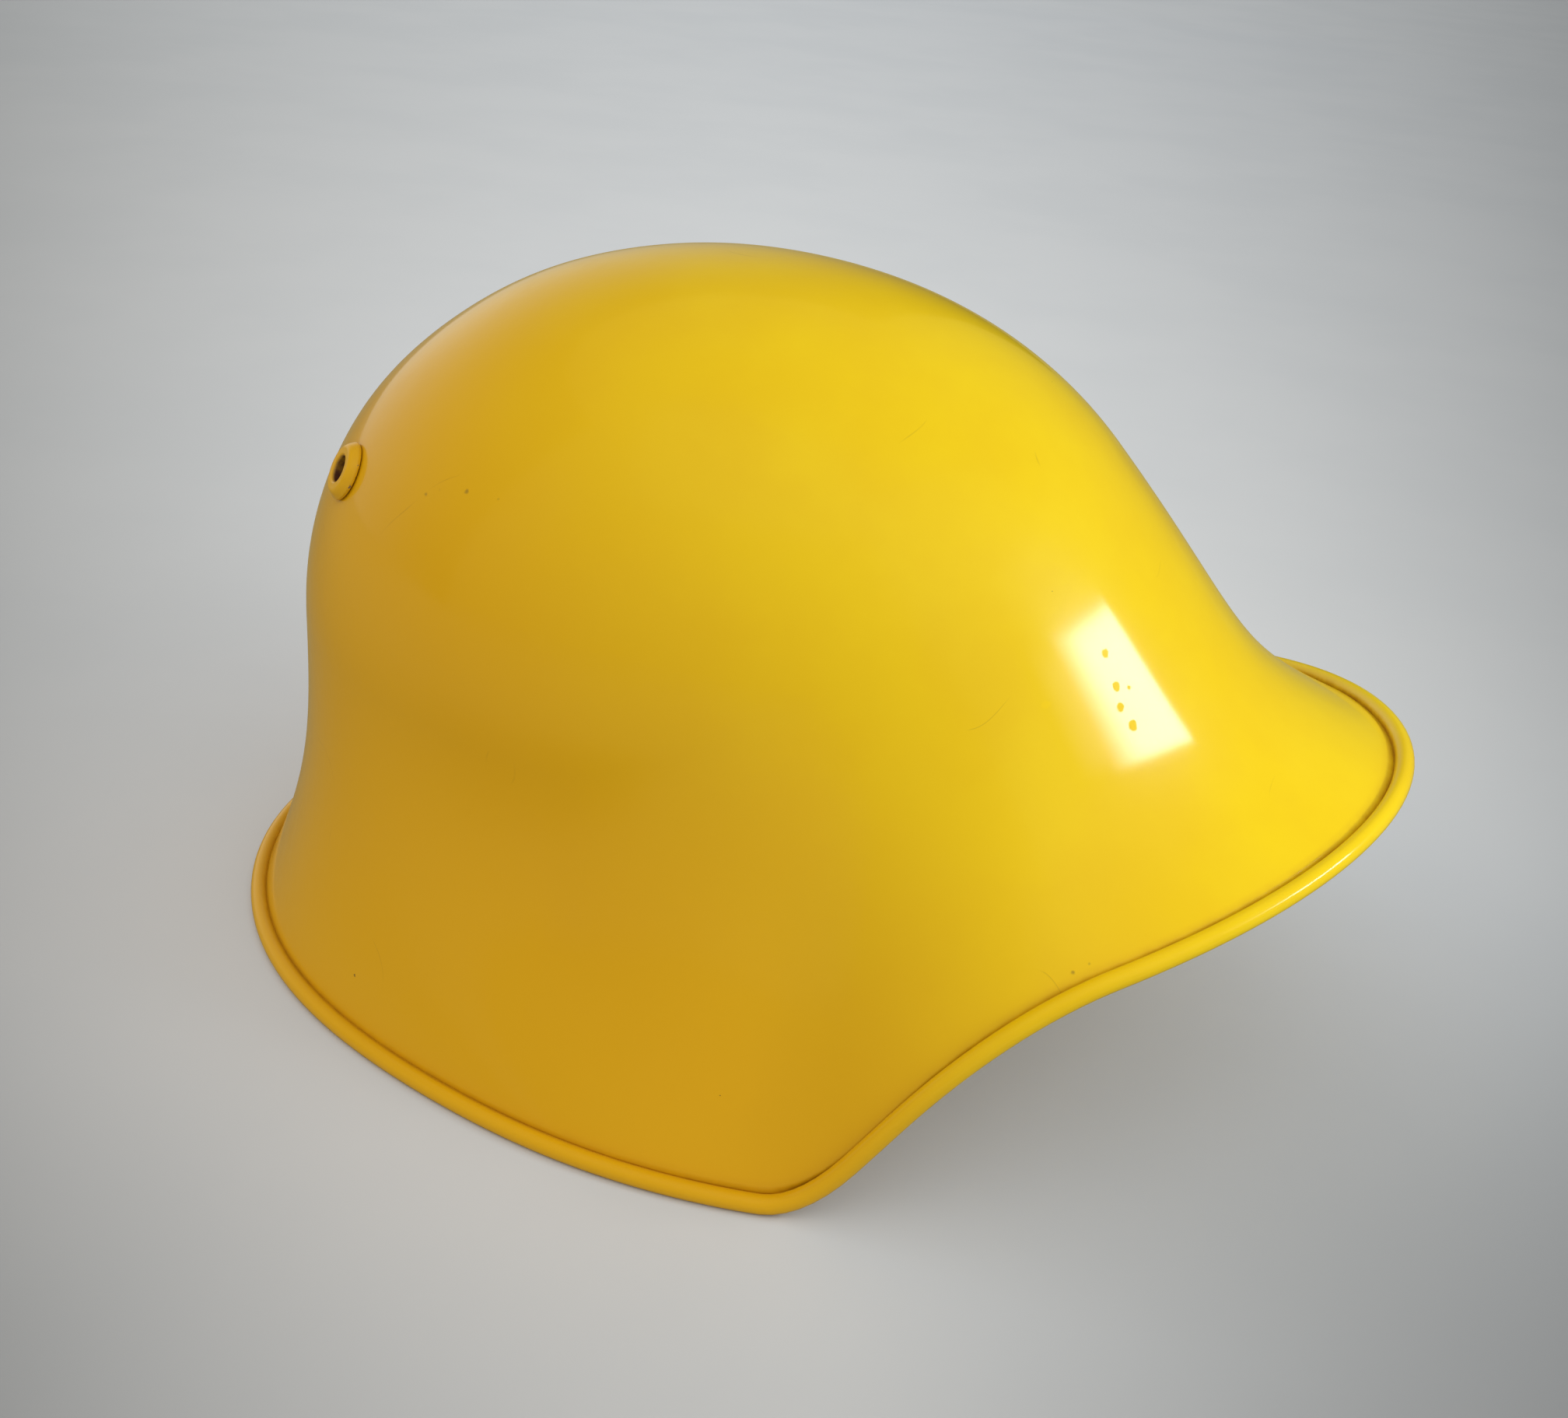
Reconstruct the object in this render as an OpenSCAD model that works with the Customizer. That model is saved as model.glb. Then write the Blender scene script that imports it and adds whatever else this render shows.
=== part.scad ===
// Deep-skirted steel helmet: one pressed shell with a rolled rim and two vents,
// a leather liner held from inside by welded lugs, and a two-part chin strap.
// +X is the front, +Y the wearer's left, +Z up. The rim rests on z = 0.

/* [Shell] */
// Height of the crown above the resting edge of the rim
shell_h = 193.3; // [180:0.5:205]
// Thickness of the pressed sheet
sheet_t = 1.2; // [0.9:0.1:1.5]
// Height at which the dome is widest
dome_z = 86.5; // [82:0.5:92]
// Plan radius of the dome ahead of its axis
dome_front_r = 123; // [117:1:128]
// Plan radius of the dome behind its axis
dome_rear_r = 122; // [117:1:128]
// Plan radius of the dome to each side
dome_side_r = 90.6; // [87:0.2:95]
// Fullness of the dome, where 2 is a plain ellipse
dome_full = 2.06; // [2:0.02:2.2]

/* [Rim] */
// Distance of the rim ahead of the dome's axis
rim_front_r = 178.3; // [168:1:188]
// Distance of the rim behind the dome's axis
rim_rear_r = 135.5; // [130:1:142]
// Distance of the rim to each side
rim_side_r = 118.9; // [113:1:124]
// How far the rim's plan is drawn in behind the temples
rim_wave = -4.3; // [-5:0.1:-3]
// Height of the visor's tip above the resting edge
visor_z = 89; // [80:1:96]
// Fall of the visor's edge for each millimetre towards the rear
visor_slope = 0.386; // [0.34:0.01:0.43]
// Distance of the ear corner ahead of the dome's axis
ear_corner = 59.6; // [55:1:64]
// Rise of the edge for each millimetre ahead of the ear corner
cheek_slope = 1.49; // [1.3:0.05:1.7]
// Half height over which the ear corner is rounded
cheek_round = 15.8; // [12:0.5:19]
// Half height over which the edge runs into the visor
visor_round = 23.1; // [18:0.5:27]
// Radius of the rolled bead
bead_r = 2.4; // [2:0.1:2.8]
// Depth of the flat that wears on the bead where it rests
rest_cut = 0.25; // [0.2:0.05:0.4]

/* [Vents] */
// Angle of each vent from straight ahead
vent_turn = 155.5; // [150:0.5:160]
// Height of each vent
vent_z = 133; // [128:1:138]
// Radius of the vent's bore
vent_bore_r = 3.45; // [3:0.05:3.8]
// Radius of the raised flange round the vent
vent_flange_r = 7.75; // [7.25:0.25:8.75]
// Height of the flange's domed lip
vent_lip = 2.7; // [2.2:0.1:3.2]
// Wall of the vent's tube
vent_wall = 1.1; // [0.9:0.1:1.3]
// Thickness of the washer inside the shell
washer_t = 0.8; // [0.6:0.1:1]
// Radius of the washer inside the shell
washer_r = 7.6; // [7:0.2:8.4]

/* [Liner] */
// Room between the dome and the liner's band at each side
side_gap = 6.4; // [5.9:0.1:7]
// Room between the dome and the liner's band at the rear
rear_gap = 17.8; // [16:0.2:20]
// How far the liner's middle sits behind the dome's axis
liner_back = 3; // [1:0.5:5]
// Height of the band's lower edge
band_z = 82; // [79:1:85]
// Height of the steel band itself
band_h = 18; // [16:1:20]
// Thickness of the steel band
band_t = 1; // [0.8:0.1:1.2]
// Thickness of the sweatband leather
sweat_t = 1.8; // [1.4:0.1:2.2]
// How far the sweatband reaches below the steel band
sweat_drop = 4; // [2:0.5:6]
// Thickness of the tongues' leather
tongue_t = 1.6; // [1.2:0.1:2]
// Room between the crown of the shell and the liner's crown
crown_gap = 20; // [17:1:23]
// Number of tongues in each of the three sets
tongues_each = 3; // [2:1:3]
// Thickness of a cushion at its crown
pad_t = 4.8; // [4:0.1:5.3]
// Thickness of a cushion at its edge
pad_edge_t = 2; // [1.5:0.1:2.5]
// Radius of the crown lace
lace_r = 1.1; // [0.9:0.1:1.2]
// Width of a welded liner lug
lug_w = 12; // [10:0.5:13]
// Thickness of the lugs' steel
lug_t = 1.2; // [1:0.1:1.4]
// Length of a lug's foot along the shell
lug_foot = 14; // [12:1:16]
// Height of a lug's foot above the steel band
lug_rise = 12; // [10:1:14]
// Radius of a liner rivet's shank
rivet_r = 1.6; // [1.4:0.1:1.8]

/* [Chin strap] */
// Distance of the strap lugs ahead of the dome's axis
strap_ahead = 16; // [12:1:20]
// Height of the eye that holds each bail
eye_z = 17; // [16:0.5:18.5]
// Radius of the bail's wire
bail_wire_r = 1.5; // [1.3:0.1:1.7]
// Distance between the bail's two bars
bail_h = 16; // [15:0.5:18]
// Distance between the middles of the bail's two arms
bail_w = 26; // [24:0.5:28]
// Width of the strap
strap_w = 15; // [13:0.5:16]
// Thickness of the strap's leather
strap_t = 2.2; // [1.8:0.1:2.4]
// Distance between the bars at the ends of the short half
short_len = 61; // [56:1:66]
// Length of the long half's leather past its bail
long_len = 180; // [172:1:190]
// Radius of the turn where the long half is folded back
turn_r = 3.9; // [3.7:0.1:4.5]
// Number of holes for the prong
prong_holes = 5; // [3:1:5]
// Distance between the holes for the prong
hole_pitch = 8; // [6:0.5:8.5]
// Radius of the buckle's wire
frame_wire_r = 1.3; // [1.1:0.1:1.5]
// Distance between the buckle's heel bar and its front bar
frame_len = 15; // [14:0.5:17]
// Distance between the middles of the buckle's two arms
frame_w = 22; // [21:0.5:24]
// Radius of the prong's wire
prong_r = 1.1; // [0.9:0.1:1.2]
// Length of the keeper along the strap
keeper_len = 8; // [6:0.5:9]
// Wall of the keeper
keeper_t = 1.4; // [1.2:0.1:1.5]
// Radius of a strap rivet's shank
strap_rivet_r = 1.4; // [1.2:0.1:1.6]

/* [Hidden] */
$fn = 48;

// Clearances, and the depth by which a shank runs into its head
weld_gap = 0.55;
seat_gap = 0.05;
layer_gap = 0.15;
lug_gap = 0.35;
run_gap = 0.1;
shank_gap = 0.08;
fold_gap = 0.15;
slip_gap = 0.3;
floor_gap = 0.25;
sink = 0.1;

// The flare below the dome: where it leaves the dome, its dip at the rim and its two handles,
// each given at the front, the side and the rear
leave_deg = [49.5, 87.1, 90];
leave_most = 89.9;
dip_deg = [16.6, 66.7, 65.2];
near_hold = [0.564, 0.357, 0.386];
far_hold = [0.444, 0.354, 0.431];

bead_off = bead_r - sheet_t;
tip_over = bead_off * sin(dip_deg[0]) + bead_r;
nape_over = bead_off * sin(dip_deg[2]) + bead_r;
dome_x = (rim_rear_r + nape_over - rim_front_r - tip_over) / 2;
rest_z = bead_r - rest_cut - bead_off * cos(dip_deg[1]);
curve = 2 / dome_full;

// Smooth value round the helmet through its front, side and rear values
function round3(v, a) = (v[0] + v[2] + 2 * v[1]) / 4 + (v[0] - v[2]) / 2 * cos(a)
    + (v[0] + v[2] - 2 * v[1]) / 4 * cos(2 * a);
// Nothing below zero, the value itself above, with a parabola of half width k between
function soft(g, k) = g < -k ? 0 : g > k ? g : (g + k) * (g + k) / (4 * k);
function oval(f, r, s, a) =
    let (m = (f + r) / 2 + (f - r) / 2 * cos(a))
    1 / sqrt(pow(cos(a) / m, 2) + pow(sin(a) / s, 2));
function unit(v) = v / norm(v);

function dome_r(a) = oval(dome_front_r, dome_rear_r, dome_side_r, a);
function rim_r(a) = oval(rim_front_r, rim_rear_r, rim_side_r, a)
    + rim_wave * (cos(3 * a) - cos(a));
function rim_z(a) =
    let (x = rim_r(a) * cos(a))
    let (cheek = cheek_slope * (x - ear_corner))
    let (visor = visor_z + visor_slope * (x - rim_front_r))
    rest_z + soft(cheek - soft(cheek - visor, visor_round), cheek_round);

// Radius and height on the outer skin: u runs 0 to 1 down the dome and 1 to 2 down the flare
function leave(a) = min(leave_most, round3(leave_deg, a));
function dome_rz(a, t) = [
    dome_r(a) * pow(sin(t), curve),
    dome_z + (shell_h - dome_z) * pow(cos(t), curve)
];
function bezier(p, q, r, s, w) =
    pow(1 - w, 3) * p + 3 * pow(1 - w, 2) * w * q + 3 * (1 - w) * w * w * r + pow(w, 3) * s;
function flare_rz(a, w) =
    let (t = leave(a))
    let (dip = round3(dip_deg, a))
    let (p = dome_rz(a, t))
    let (s = [rim_r(a), rim_z(a)])
    let (run = norm(s - p))
    let (way = unit([
        dome_r(a) * pow(sin(t), curve - 1) * cos(t),
        -(shell_h - dome_z) * pow(cos(t), curve - 1) * sin(t)
    ]))
    let (q = p + round3(near_hold, a) * run * way)
    let (r = s + round3(far_hold, a) * run * [-cos(dip), sin(dip)])
    bezier(p, q, r, s, w);
function skin_rz(a, u) = u <= 1 ? dome_rz(a, u * leave(a)) : flare_rz(a, u - 1);
function skin(a, u) =
    let (p = skin_rz(a, u))
    [dome_x + p[0] * cos(a), p[0] * sin(a), p[1]];
function skin_out(a, u) = u < 0.001 ? [0, 0, 1] :
    let (down = skin(a, min(u + 0.004, 2)) - skin(a, u - 0.004))
    let (along = skin(a + 0.5, u) - skin(a - 0.5, u))
    unit(cross(down, along));
function under(a, u, d) = skin(a, u) - d * skin_out(a, u);
// Place on the skin at a given height, found by halving
function skin_u(a, z, lo = 0.02, hi = 1.99, n = 18) =
    let (m = (lo + hi) / 2)
    n == 0 ? m : skin_rz(a, m)[1] > z ? skin_u(a, z, m, hi, n - 1) : skin_u(a, z, lo, m, n - 1);
// Point a distance d under the outer skin at angle a and height z
function wall(a, z, d) = under(a, skin_u(a, z), d);

// Closed solid through rings of points, given from one end to the other. Each ring runs out
// along one side of a strip and back along the other, so its ends are capped across the strip.
module loft(rings, ends = true) {
    n = len(rings);
    m = len(rings[0]);
    last = ends ? n - 2 : n - 1;
    sides = [for (i = [0:last]) for (j = [0:m - 1])
        let (k = (j + 1) % m)
        let (i2 = (i + 1) % n)
        each [[i * m + j, i2 * m + j, i2 * m + k], [i * m + j, i2 * m + k, i * m + k]]];
    tail = (n - 1) * m;
    caps = ends ? [for (j = [0:m / 2 - 2])
        for (f = [[j, j + 1, m - 2 - j], [j, m - 2 - j, m - 1 - j]])
            each [f, [tail + f[0], tail + f[2], tail + f[1]]]] : [];
    polyhedron(points = [for (r = rings) each r], faces = concat(sides, caps), convexity = 8);
}

// Counts of points round the shell, down its dome, down its flare and round its bead
shell_cols = 90;
dome_rows = 11;
flare_rows = 8;
bead_round = 6;
// The flare's rows sit back by a share of a row, so that the last one clears the bead
row_back = 0.4;
bead_from = -acos(-bead_off / bead_r);
// The bead is cut flat between two angles either side of its lowest point
flat_half = acos((bead_r - rest_cut) / bead_r);
flat_mid = 180 - dip_deg[1];
bead_turns = concat(
    [for (i = [0:bead_round]) bead_from + i * (flat_mid - flat_half - bead_from) / bead_round],
    [flat_mid + flat_half, 180]
);
function worn(p) = p[2] < rest_cut / 2 ? [p[0], p[1], 0] : p;

// Axes of the bead's section: away from the skin, and down past its edge
function edge_out(a) = skin_out(a, 2);
function edge_down(a) =
    let (along = unit(skin(a + 0.5, 2) - skin(a - 0.5, 2)))
    unit(cross(along, edge_out(a)));
function bead_pt(a, v) = skin(a, 2) + bead_off * edge_out(a)
    + bead_r * (cos(v) * edge_out(a) + sin(v) * edge_down(a));
function skin_row(i) = i <= dome_rows ? i / dome_rows
    : 1 + (i - dome_rows - row_back) / flare_rows;

module shell_skin() {
    rows = dome_rows + flare_rows;
    angles = [for (j = [0:shell_cols - 1]) j * 360 / shell_cols];
    outer = [for (i = [1:rows]) [for (a = angles) skin(a, skin_row(i))]];
    bead = [for (v = bead_turns) [for (a = angles) worn(bead_pt(a, v))]];
    inner = [for (i = [rows:-1:1]) [for (a = angles) under(a, skin_row(i), sheet_t)]];
    rings = concat(outer, bead, inner);
    n = len(rings);
    m = shell_cols;
    top = n * m;
    low = top + 1;
    sides = [for (i = [0:n - 2]) for (j = [0:m - 1])
        let (k = (j + 1) % m)
        let (below = (i + 1) * m)
        each [[i * m + j, below + k, below + j], [i * m + j, i * m + k, below + k]]];
    crown = [for (j = [0:m - 1]) [top, (j + 1) % m, j]];
    inside = [for (j = [0:m - 1]) [low, (n - 1) * m + j, (n - 1) * m + (j + 1) % m]];
    polyhedron(
        points = concat([for (r = rings) each r],
            [[dome_x, 0, shell_h], [dome_x, 0, shell_h - sheet_t]]),
        faces = concat(sides, crown, inside),
        convexity = 10
    );
}

vent_tube_r = vent_bore_r + vent_wall;
vent_u = skin_u(vent_turn, vent_z);
vent_at = skin(vent_turn, vent_u);
vent_out = skin_out(vent_turn, vent_u);

// Turns local +Z onto a direction
module aim(v) {
    rotate([0, acos(v[2] / norm(v)), atan2(v[1], v[0])])
        children();
}
// Places a left-hand piece on the left for 1 and on the right for -1
module both(side) {
    mirror([0, side > 0 ? 0 : 1, 0])
        children();
}
module at_vent(side) {
    both(side)
        translate(vent_at)
            aim(vent_out)
                children();
}

module shell() {
    deep = 20;
    color("gold")
        difference() {
            shell_skin();
            for (side = [-1, 1])
                at_vent(side)
                    translate([0, 0, -deep / 2])
                        cylinder(r = vent_tube_r + run_gap, h = deep);
        }
}

// A bushing lies on the shell with its flange, passes through it and a washer, and is rolled
// over inside. The flange rises from its thin edge to a flat crest and a rounded lip.
flange_edge_t = 0.7;
crest_flat = 1.25;
lip_r = 0.9;
roll_over = 1.1;
roll_t = 0.7;
tube_in = sheet_t + washer_t + 2 * weld_gap;

module vent_bushing() {
    top = seat_gap + vent_lip;
    edge = seat_gap + flange_edge_t;
    crest_r = vent_bore_r + lip_r + crest_flat;
    roll_r = vent_tube_r + roll_over;
    color("goldenrod")
        rotate_extrude($fn = 72)
            polygon(concat(
                [[vent_bore_r, -tube_in - roll_t], [roll_r, -tube_in - roll_t], [roll_r, -tube_in],
                    [vent_tube_r, -tube_in], [vent_tube_r, seat_gap], [vent_flange_r, seat_gap]],
                [for (v = [0:11.25:90])
                    [vent_flange_r + (crest_r - vent_flange_r) * v / 90, edge + (top - edge) * sin(v)]],
                [for (v = [90:15:180])
                    [vent_bore_r + lip_r * (1 + cos(v)), top - lip_r * (1 - sin(v))]]
            ));
}
module vent_bushing_left() {
    at_vent(1)
        vent_bushing();
}
module vent_bushing_right() {
    at_vent(-1)
        vent_bushing();
}
module vent_washers() {
    color("darkkhaki")
        for (side = [-1, 1])
            at_vent(side)
                translate([0, 0, -tube_in + seat_gap])
                    difference() {
                        cylinder(r = washer_r, h = washer_t);
                        translate([0, 0, -washer_t])
                            cylinder(r = vent_tube_r + run_gap, h = 3 * washer_t);
                    }
}

// The liner hangs inside the dome on three welded lugs
liner_x = dome_x - liner_back;
band_rx = dome_rear_r - sheet_t - rear_gap;
band_ry = dome_side_r - sheet_t - side_gap;
band_top = band_z + band_h;
tongue_in = band_t + layer_gap;
sweat_in = tongue_in + tongue_t + layer_gap;
liner_top = shell_h - sheet_t - crown_gap;
// The band's outline has a flat every 5 degrees, centred on each multiple of 5
facet = 5;
sets = 3;
set_turn = 360 / sets;
tongue_turn = set_turn / tongues_each;
lug_turns = [60, 180, 300];

// Point on the liner's ovals, d inside the steel band's outer face
function oval_pt(a, d) = [liner_x + (band_rx - d) * cos(a), (band_ry - d) * sin(a)];
function oval_out(a) = unit([cos(a) / band_rx, sin(a) / band_ry, 0]);
function lift(p, z) = [p[0], p[1], z];
module oval_ring(d, t, z, h) {
    turns = [for (k = [0:360 / facet - 1]) (k + 0.5) * facet];
    translate([0, 0, z])
        linear_extrude(h)
            difference() {
                polygon([for (a = turns) oval_pt(a, d)]);
                polygon([for (a = turns) oval_pt(a, d + t)]);
            }
}
module at_rivet(a) {
    translate(lift(oval_pt(a, 0), band_z + band_h / 2))
        aim(oval_out(a))
            children();
}
module rivet_holes(r) {
    deep = 24;
    for (a = lug_turns)
        at_rivet(a)
            translate([0, 0, -deep / 2])
                cylinder(r = r, h = deep);
}

module liner_band() {
    color("gray")
        difference() {
            oval_ring(0, band_t, band_z, band_h);
            rivet_holes(rivet_r + shank_gap);
        }
}
module sweatband() {
    color("saddlebrown")
        difference() {
            oval_ring(sweat_in, sweat_t, band_z - sweat_drop, band_h + sweat_drop);
            rivet_holes(rivet_r + shank_gap);
        }
}
rivet_head_r = 3.4;
rivet_head_t = 1.1;
module dome_head(r, t) {
    ball = (r * r + t * t) / (2 * t);
    intersection() {
        translate([0, 0, t - ball])
            sphere(r = ball);
        cylinder(r = 2 * r, h = 2 * t);
    }
}
module band_rivets() {
    outside = lug_gap + lug_t + seat_gap;
    inside = sweat_in + sweat_t + layer_gap;
    color("silver")
        for (a = lug_turns)
            at_rivet(a) {
                translate([0, 0, -inside - sink])
                    cylinder(r = rivet_r, h = inside + outside + 2 * sink);
                translate([0, 0, outside])
                    dome_head(rivet_head_r, rivet_head_t);
                translate([0, 0, -inside])
                    mirror([0, 0, 1])
                        dome_head(rivet_head_r, rivet_head_t);
            }
}

// Rings of a lug's welded foot, which follows the shell's inside from the top down
function foot_rings(turn, half, low, steps) =
    let (near = sheet_t + weld_gap)
    [for (i = [steps:-1:0])
        let (z = low + i * lug_foot / steps)
        [wall(turn - half, z, near), wall(turn + half, z, near),
            wall(turn + half, z, near + lug_t), wall(turn - half, z, near + lug_t)]];

// A liner lug runs from its welded foot down to a plate on the band
plate_drop = 1;
plate_rise = 2;
module liner_lug(a) {
    start = lift(oval_pt(a, 0), band_top) + rear_gap / 2 * oval_out(a);
    turn = atan2(start[1], start[0] - dome_x);
    half = asin(lug_w / 2 / norm([start[0] - dome_x, start[1]]));
    plate_half = lug_w / 2 * [-oval_out(a)[1], oval_out(a)[0], 0];
    foot = foot_rings(turn, half, band_top + lug_rise, 4);
    plate = [for (z = [band_top - plate_drop, band_z + plate_rise])
        let (p = lift(oval_pt(a, -lug_gap), z))
        let (q = lift(oval_pt(a, -lug_gap - lug_t), z))
        [q - plate_half, q + plate_half, p + plate_half, p - plate_half]];
    color("dimgray")
        difference() {
            loft(reverse(concat(foot, plate)));
            at_rivet(a)
                translate([0, 0, -band_t])
                    cylinder(r = rivet_r + shank_gap, h = 3 * band_t + lug_t);
        }
}
module liner_lug_left() {
    liner_lug(lug_turns[0]);
}
module liner_lug_right() {
    mirror([0, 1, 0])
        liner_lug(lug_turns[0]);
}
module liner_lug_rear() {
    liner_lug(lug_turns[1]);
}

// The tongues rise from the band and bend inwards on an ellipsoid
tongue_rx = band_rx - tongue_in;
tongue_ry = band_ry - tongue_in;
tongue_h = liner_top - band_top;
root_half = 17.5;
tip_half = 14.5;
lace_deg = 26;
tip_deg = 5.6;
root_rise = 3;
tongue_cols = 7;
function crown_pt(a, t, d) =
    let (n = unit([cos(a) * sin(t) / tongue_rx, sin(a) * sin(t) / tongue_ry, cos(t) / tongue_h]))
    let (p = [tongue_rx * cos(a) * sin(t), tongue_ry * sin(a) * sin(t), tongue_h * cos(t)])
    [liner_x, 0, band_top] + p + d * n;
function tongue_half(t) = t > lace_deg
    ? tip_half + (root_half - tip_half) * (t - lace_deg) / (90 - lace_deg)
    : tip_half * sqrt(1 - pow((lace_deg - t) / tip_deg, 2));
function tongue_row(a, t, d) = [for (j = [0:tongue_cols])
    let (b = a + tongue_half(t) * (2 * j / tongue_cols - 1))
    crown_pt(b, t, d)];
function reverse(v) = [for (i = [len(v) - 1:-1:0]) v[i]];

// Angle of each lace hole from the tongue's middle, the turn over which the lace dips, its room
lace_hole = 8;
lace_ramp = 7;
lace_room = 1.5;
module tongue(a) {
    steps = [90, 81, 72, 63, 54, 45, 36, 30, 26, 24, 22.3, 21.2, 20.6];
    body = [for (t = steps) concat(tongue_row(a, t, 0), reverse(tongue_row(a, t, -tongue_t)))];
    root = [for (p = body[0]) lift(p, band_z + root_rise)];
    difference() {
        loft(concat([root], body));
        for (s = [-1, 1])
            translate(crown_pt(a + s * lace_hole, lace_deg, -tongue_t / 2))
                aim(crown_pt(a + s * lace_hole, lace_deg, 1) - crown_pt(a + s * lace_hole, lace_deg, 0))
                    translate([0, 0, -2 * tongue_t])
                        cylinder(r = lace_r + lace_room, h = 4 * tongue_t, $fn = 24);
    }
}
module tongue_set(a) {
    color("peru")
        for (k = [0:tongues_each - 1])
            tongue(a + (k - (tongues_each - 1) / 2) * tongue_turn);
}
module tongues_front() {
    tongue_set(0);
}
module tongues_left() {
    tongue_set(set_turn);
}
module tongues_right() {
    tongue_set(-set_turn);
}

// The lace runs outside the tongues and dips under each one between its two holes
lace_clear = 0.35;
function dip(b) =
    let (s = min(1, max(0, (abs(b) - lace_hole + lace_ramp / 2) / lace_ramp)))
    s * s * (3 - 2 * s);
function lace_pt(a) =
    let (b = a - tongue_turn * round(a / tongue_turn))
    let (top = lace_r + lace_clear)
    crown_pt(a, lace_deg, -tongue_t - top + (tongue_t + 2 * top) * dip(b));
module crown_lace() {
    steps = [-16, -11.5, -8, -4.5, 0, 4.5, 8, 11.5, 16];
    turns = [for (k = [0:sets * tongues_each - 1]) for (s = steps) k * tongue_turn + s];
    n = len(turns);
    sides = 8;
    color("tan")
        loft([for (i = [0:n - 1])
            let (p = lace_pt(turns[i]))
            let (way = unit(lace_pt(turns[(i + 1) % n]) - lace_pt(turns[(i + n - 1) % n])))
            let (up = unit(crown_pt(turns[i], lace_deg, 1) - crown_pt(turns[i], lace_deg, 0)))
            let (side = unit(cross(up, way)))
            let (rise = cross(way, side))
            [for (j = [0:sides - 1])
                let (v = j * 360 / sides)
                p + lace_r * (cos(v) * side + sin(v) * rise)]],
            ends = false);
}

// A cushion lies behind each set of tongues, quilted between them
pad_half = 50;
pad_low = 87;
pad_high = 60;
pad_cols = 24;
pad_rows = 6;
pad_gap = 0.4;
channel = 0.45;
function pad_thick(u, v, b) =
    let (c = b - tongue_turn * round(b / tongue_turn))
    pad_edge_t + (pad_t - pad_edge_t) * (1 - pow(v, 2)) * (1 - pow(u, 6))
    * (1 - channel * exp(-pow((tongue_turn / 2 - abs(c)) / 3, 2)));
module pad(a) {
    rows = [for (i = [0:pad_rows])
        let (v = 2 * i / pad_rows - 1)
        let (t = (pad_low + pad_high) / 2 - v * (pad_low - pad_high) / 2)
        let (in = [for (j = [0:pad_cols]) crown_pt(a + pad_half * (2 * j / pad_cols - 1), t, pad_gap)])
        let (out = [for (j = [0:pad_cols])
            let (u = 2 * j / pad_cols - 1)
            crown_pt(a + pad_half * u, t, pad_gap + pad_thick(u, v, pad_half * u))])
        concat(out, reverse(in))];
    color("wheat")
        loft(rows);
}
module pad_front() {
    pad(0);
}
module pad_left() {
    pad(set_turn);
}
module pad_right() {
    pad(-set_turn);
}

// The chin strap lies on the floor inside the rim, its long half folded back on itself
fold_r = bail_wire_r + fold_gap + strap_t;
bar_z = fold_r + floor_gap;
eye_wall = 1.5;
eye_r = bail_wire_r + run_gap + eye_wall;
eye_len = 11;
strap_x = dome_x + strap_ahead;
// Angle round the dome's axis at which a wall stands a given distance ahead of it
function turn_at(x, z, lo = 45, hi = 120, n = 18) =
    let (m = (lo + hi) / 2)
    n == 0 ? m : wall(m, z, sheet_t)[0] > x ? turn_at(x, z, m, hi, n - 1) : turn_at(x, z, lo, m, n - 1);
eye_turn = turn_at(strap_x, eye_z);
eye_y = wall(eye_turn, eye_z, sheet_t)[1] - eye_r - 2 * weld_gap;
bail_lean = acos((eye_z - bar_z) / bail_h);
bar_y = eye_y - bail_h * sin(bail_lean);

// Height of the foot above the eye, and where the neck meets the eye's outer and inner side
strap_lug_rise = 12;
neck_out = 50;
neck_in = 10;
module strap_lug() {
    half = asin(eye_len / 2 / norm([strap_ahead, eye_y]));
    foot = foot_rings(eye_turn, half, eye_z + strap_lug_rise, 3);
    rise_in = eye_r - eye_wall + 3 * sink;
    rise_out = eye_r - sink;
    foot_end = [
        [strap_x + eye_len / 2, eye_y + rise_out * sin(neck_out), eye_z + rise_out * cos(neck_out)],
        [strap_x - eye_len / 2, eye_y + rise_out * sin(neck_out), eye_z + rise_out * cos(neck_out)],
        [strap_x - eye_len / 2, eye_y + rise_in * sin(neck_in), eye_z + rise_in * cos(neck_in)],
        [strap_x + eye_len / 2, eye_y + rise_in * sin(neck_in), eye_z + rise_in * cos(neck_in)]
    ];
    color("dimgray")
        difference() {
            union() {
                loft(reverse(concat(foot, [foot_end])));
                translate([strap_x - eye_len / 2, eye_y, eye_z])
                    rotate([0, 90, 0])
                        cylinder(r = eye_r, h = eye_len);
            }
            translate([strap_x - eye_len, eye_y, eye_z])
                rotate([0, 90, 0])
                    cylinder(r = bail_wire_r + run_gap, h = 2 * eye_len);
        }
}
module strap_lug_left() {
    strap_lug();
}
module strap_lug_right() {
    both(-1)
        strap_lug();
}

// Closed ring of round wire: one bar along X at the origin, the other at y = len
module wire_ring(w, len, r, bend) {
    for (y = [0, len])
        translate([-w / 2 + bend, y, 0])
            rotate([0, 90, 0])
                cylinder(r = r, h = w - 2 * bend);
    for (s = [-1, 1])
        translate([s * w / 2, bend, 0])
            rotate([-90, 0, 0])
                cylinder(r = r, h = len - 2 * bend);
    for (k = [0:3])
        translate([(k == 0 || k == 3 ? 1 : -1) * (w / 2 - bend), k < 2 ? len - bend : bend, 0])
            rotate([0, 0, 90 * k])
                rotate_extrude(angle = 90)
                    translate([bend, 0])
                        circle(r = r);
}
bail_bend = 4;
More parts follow.
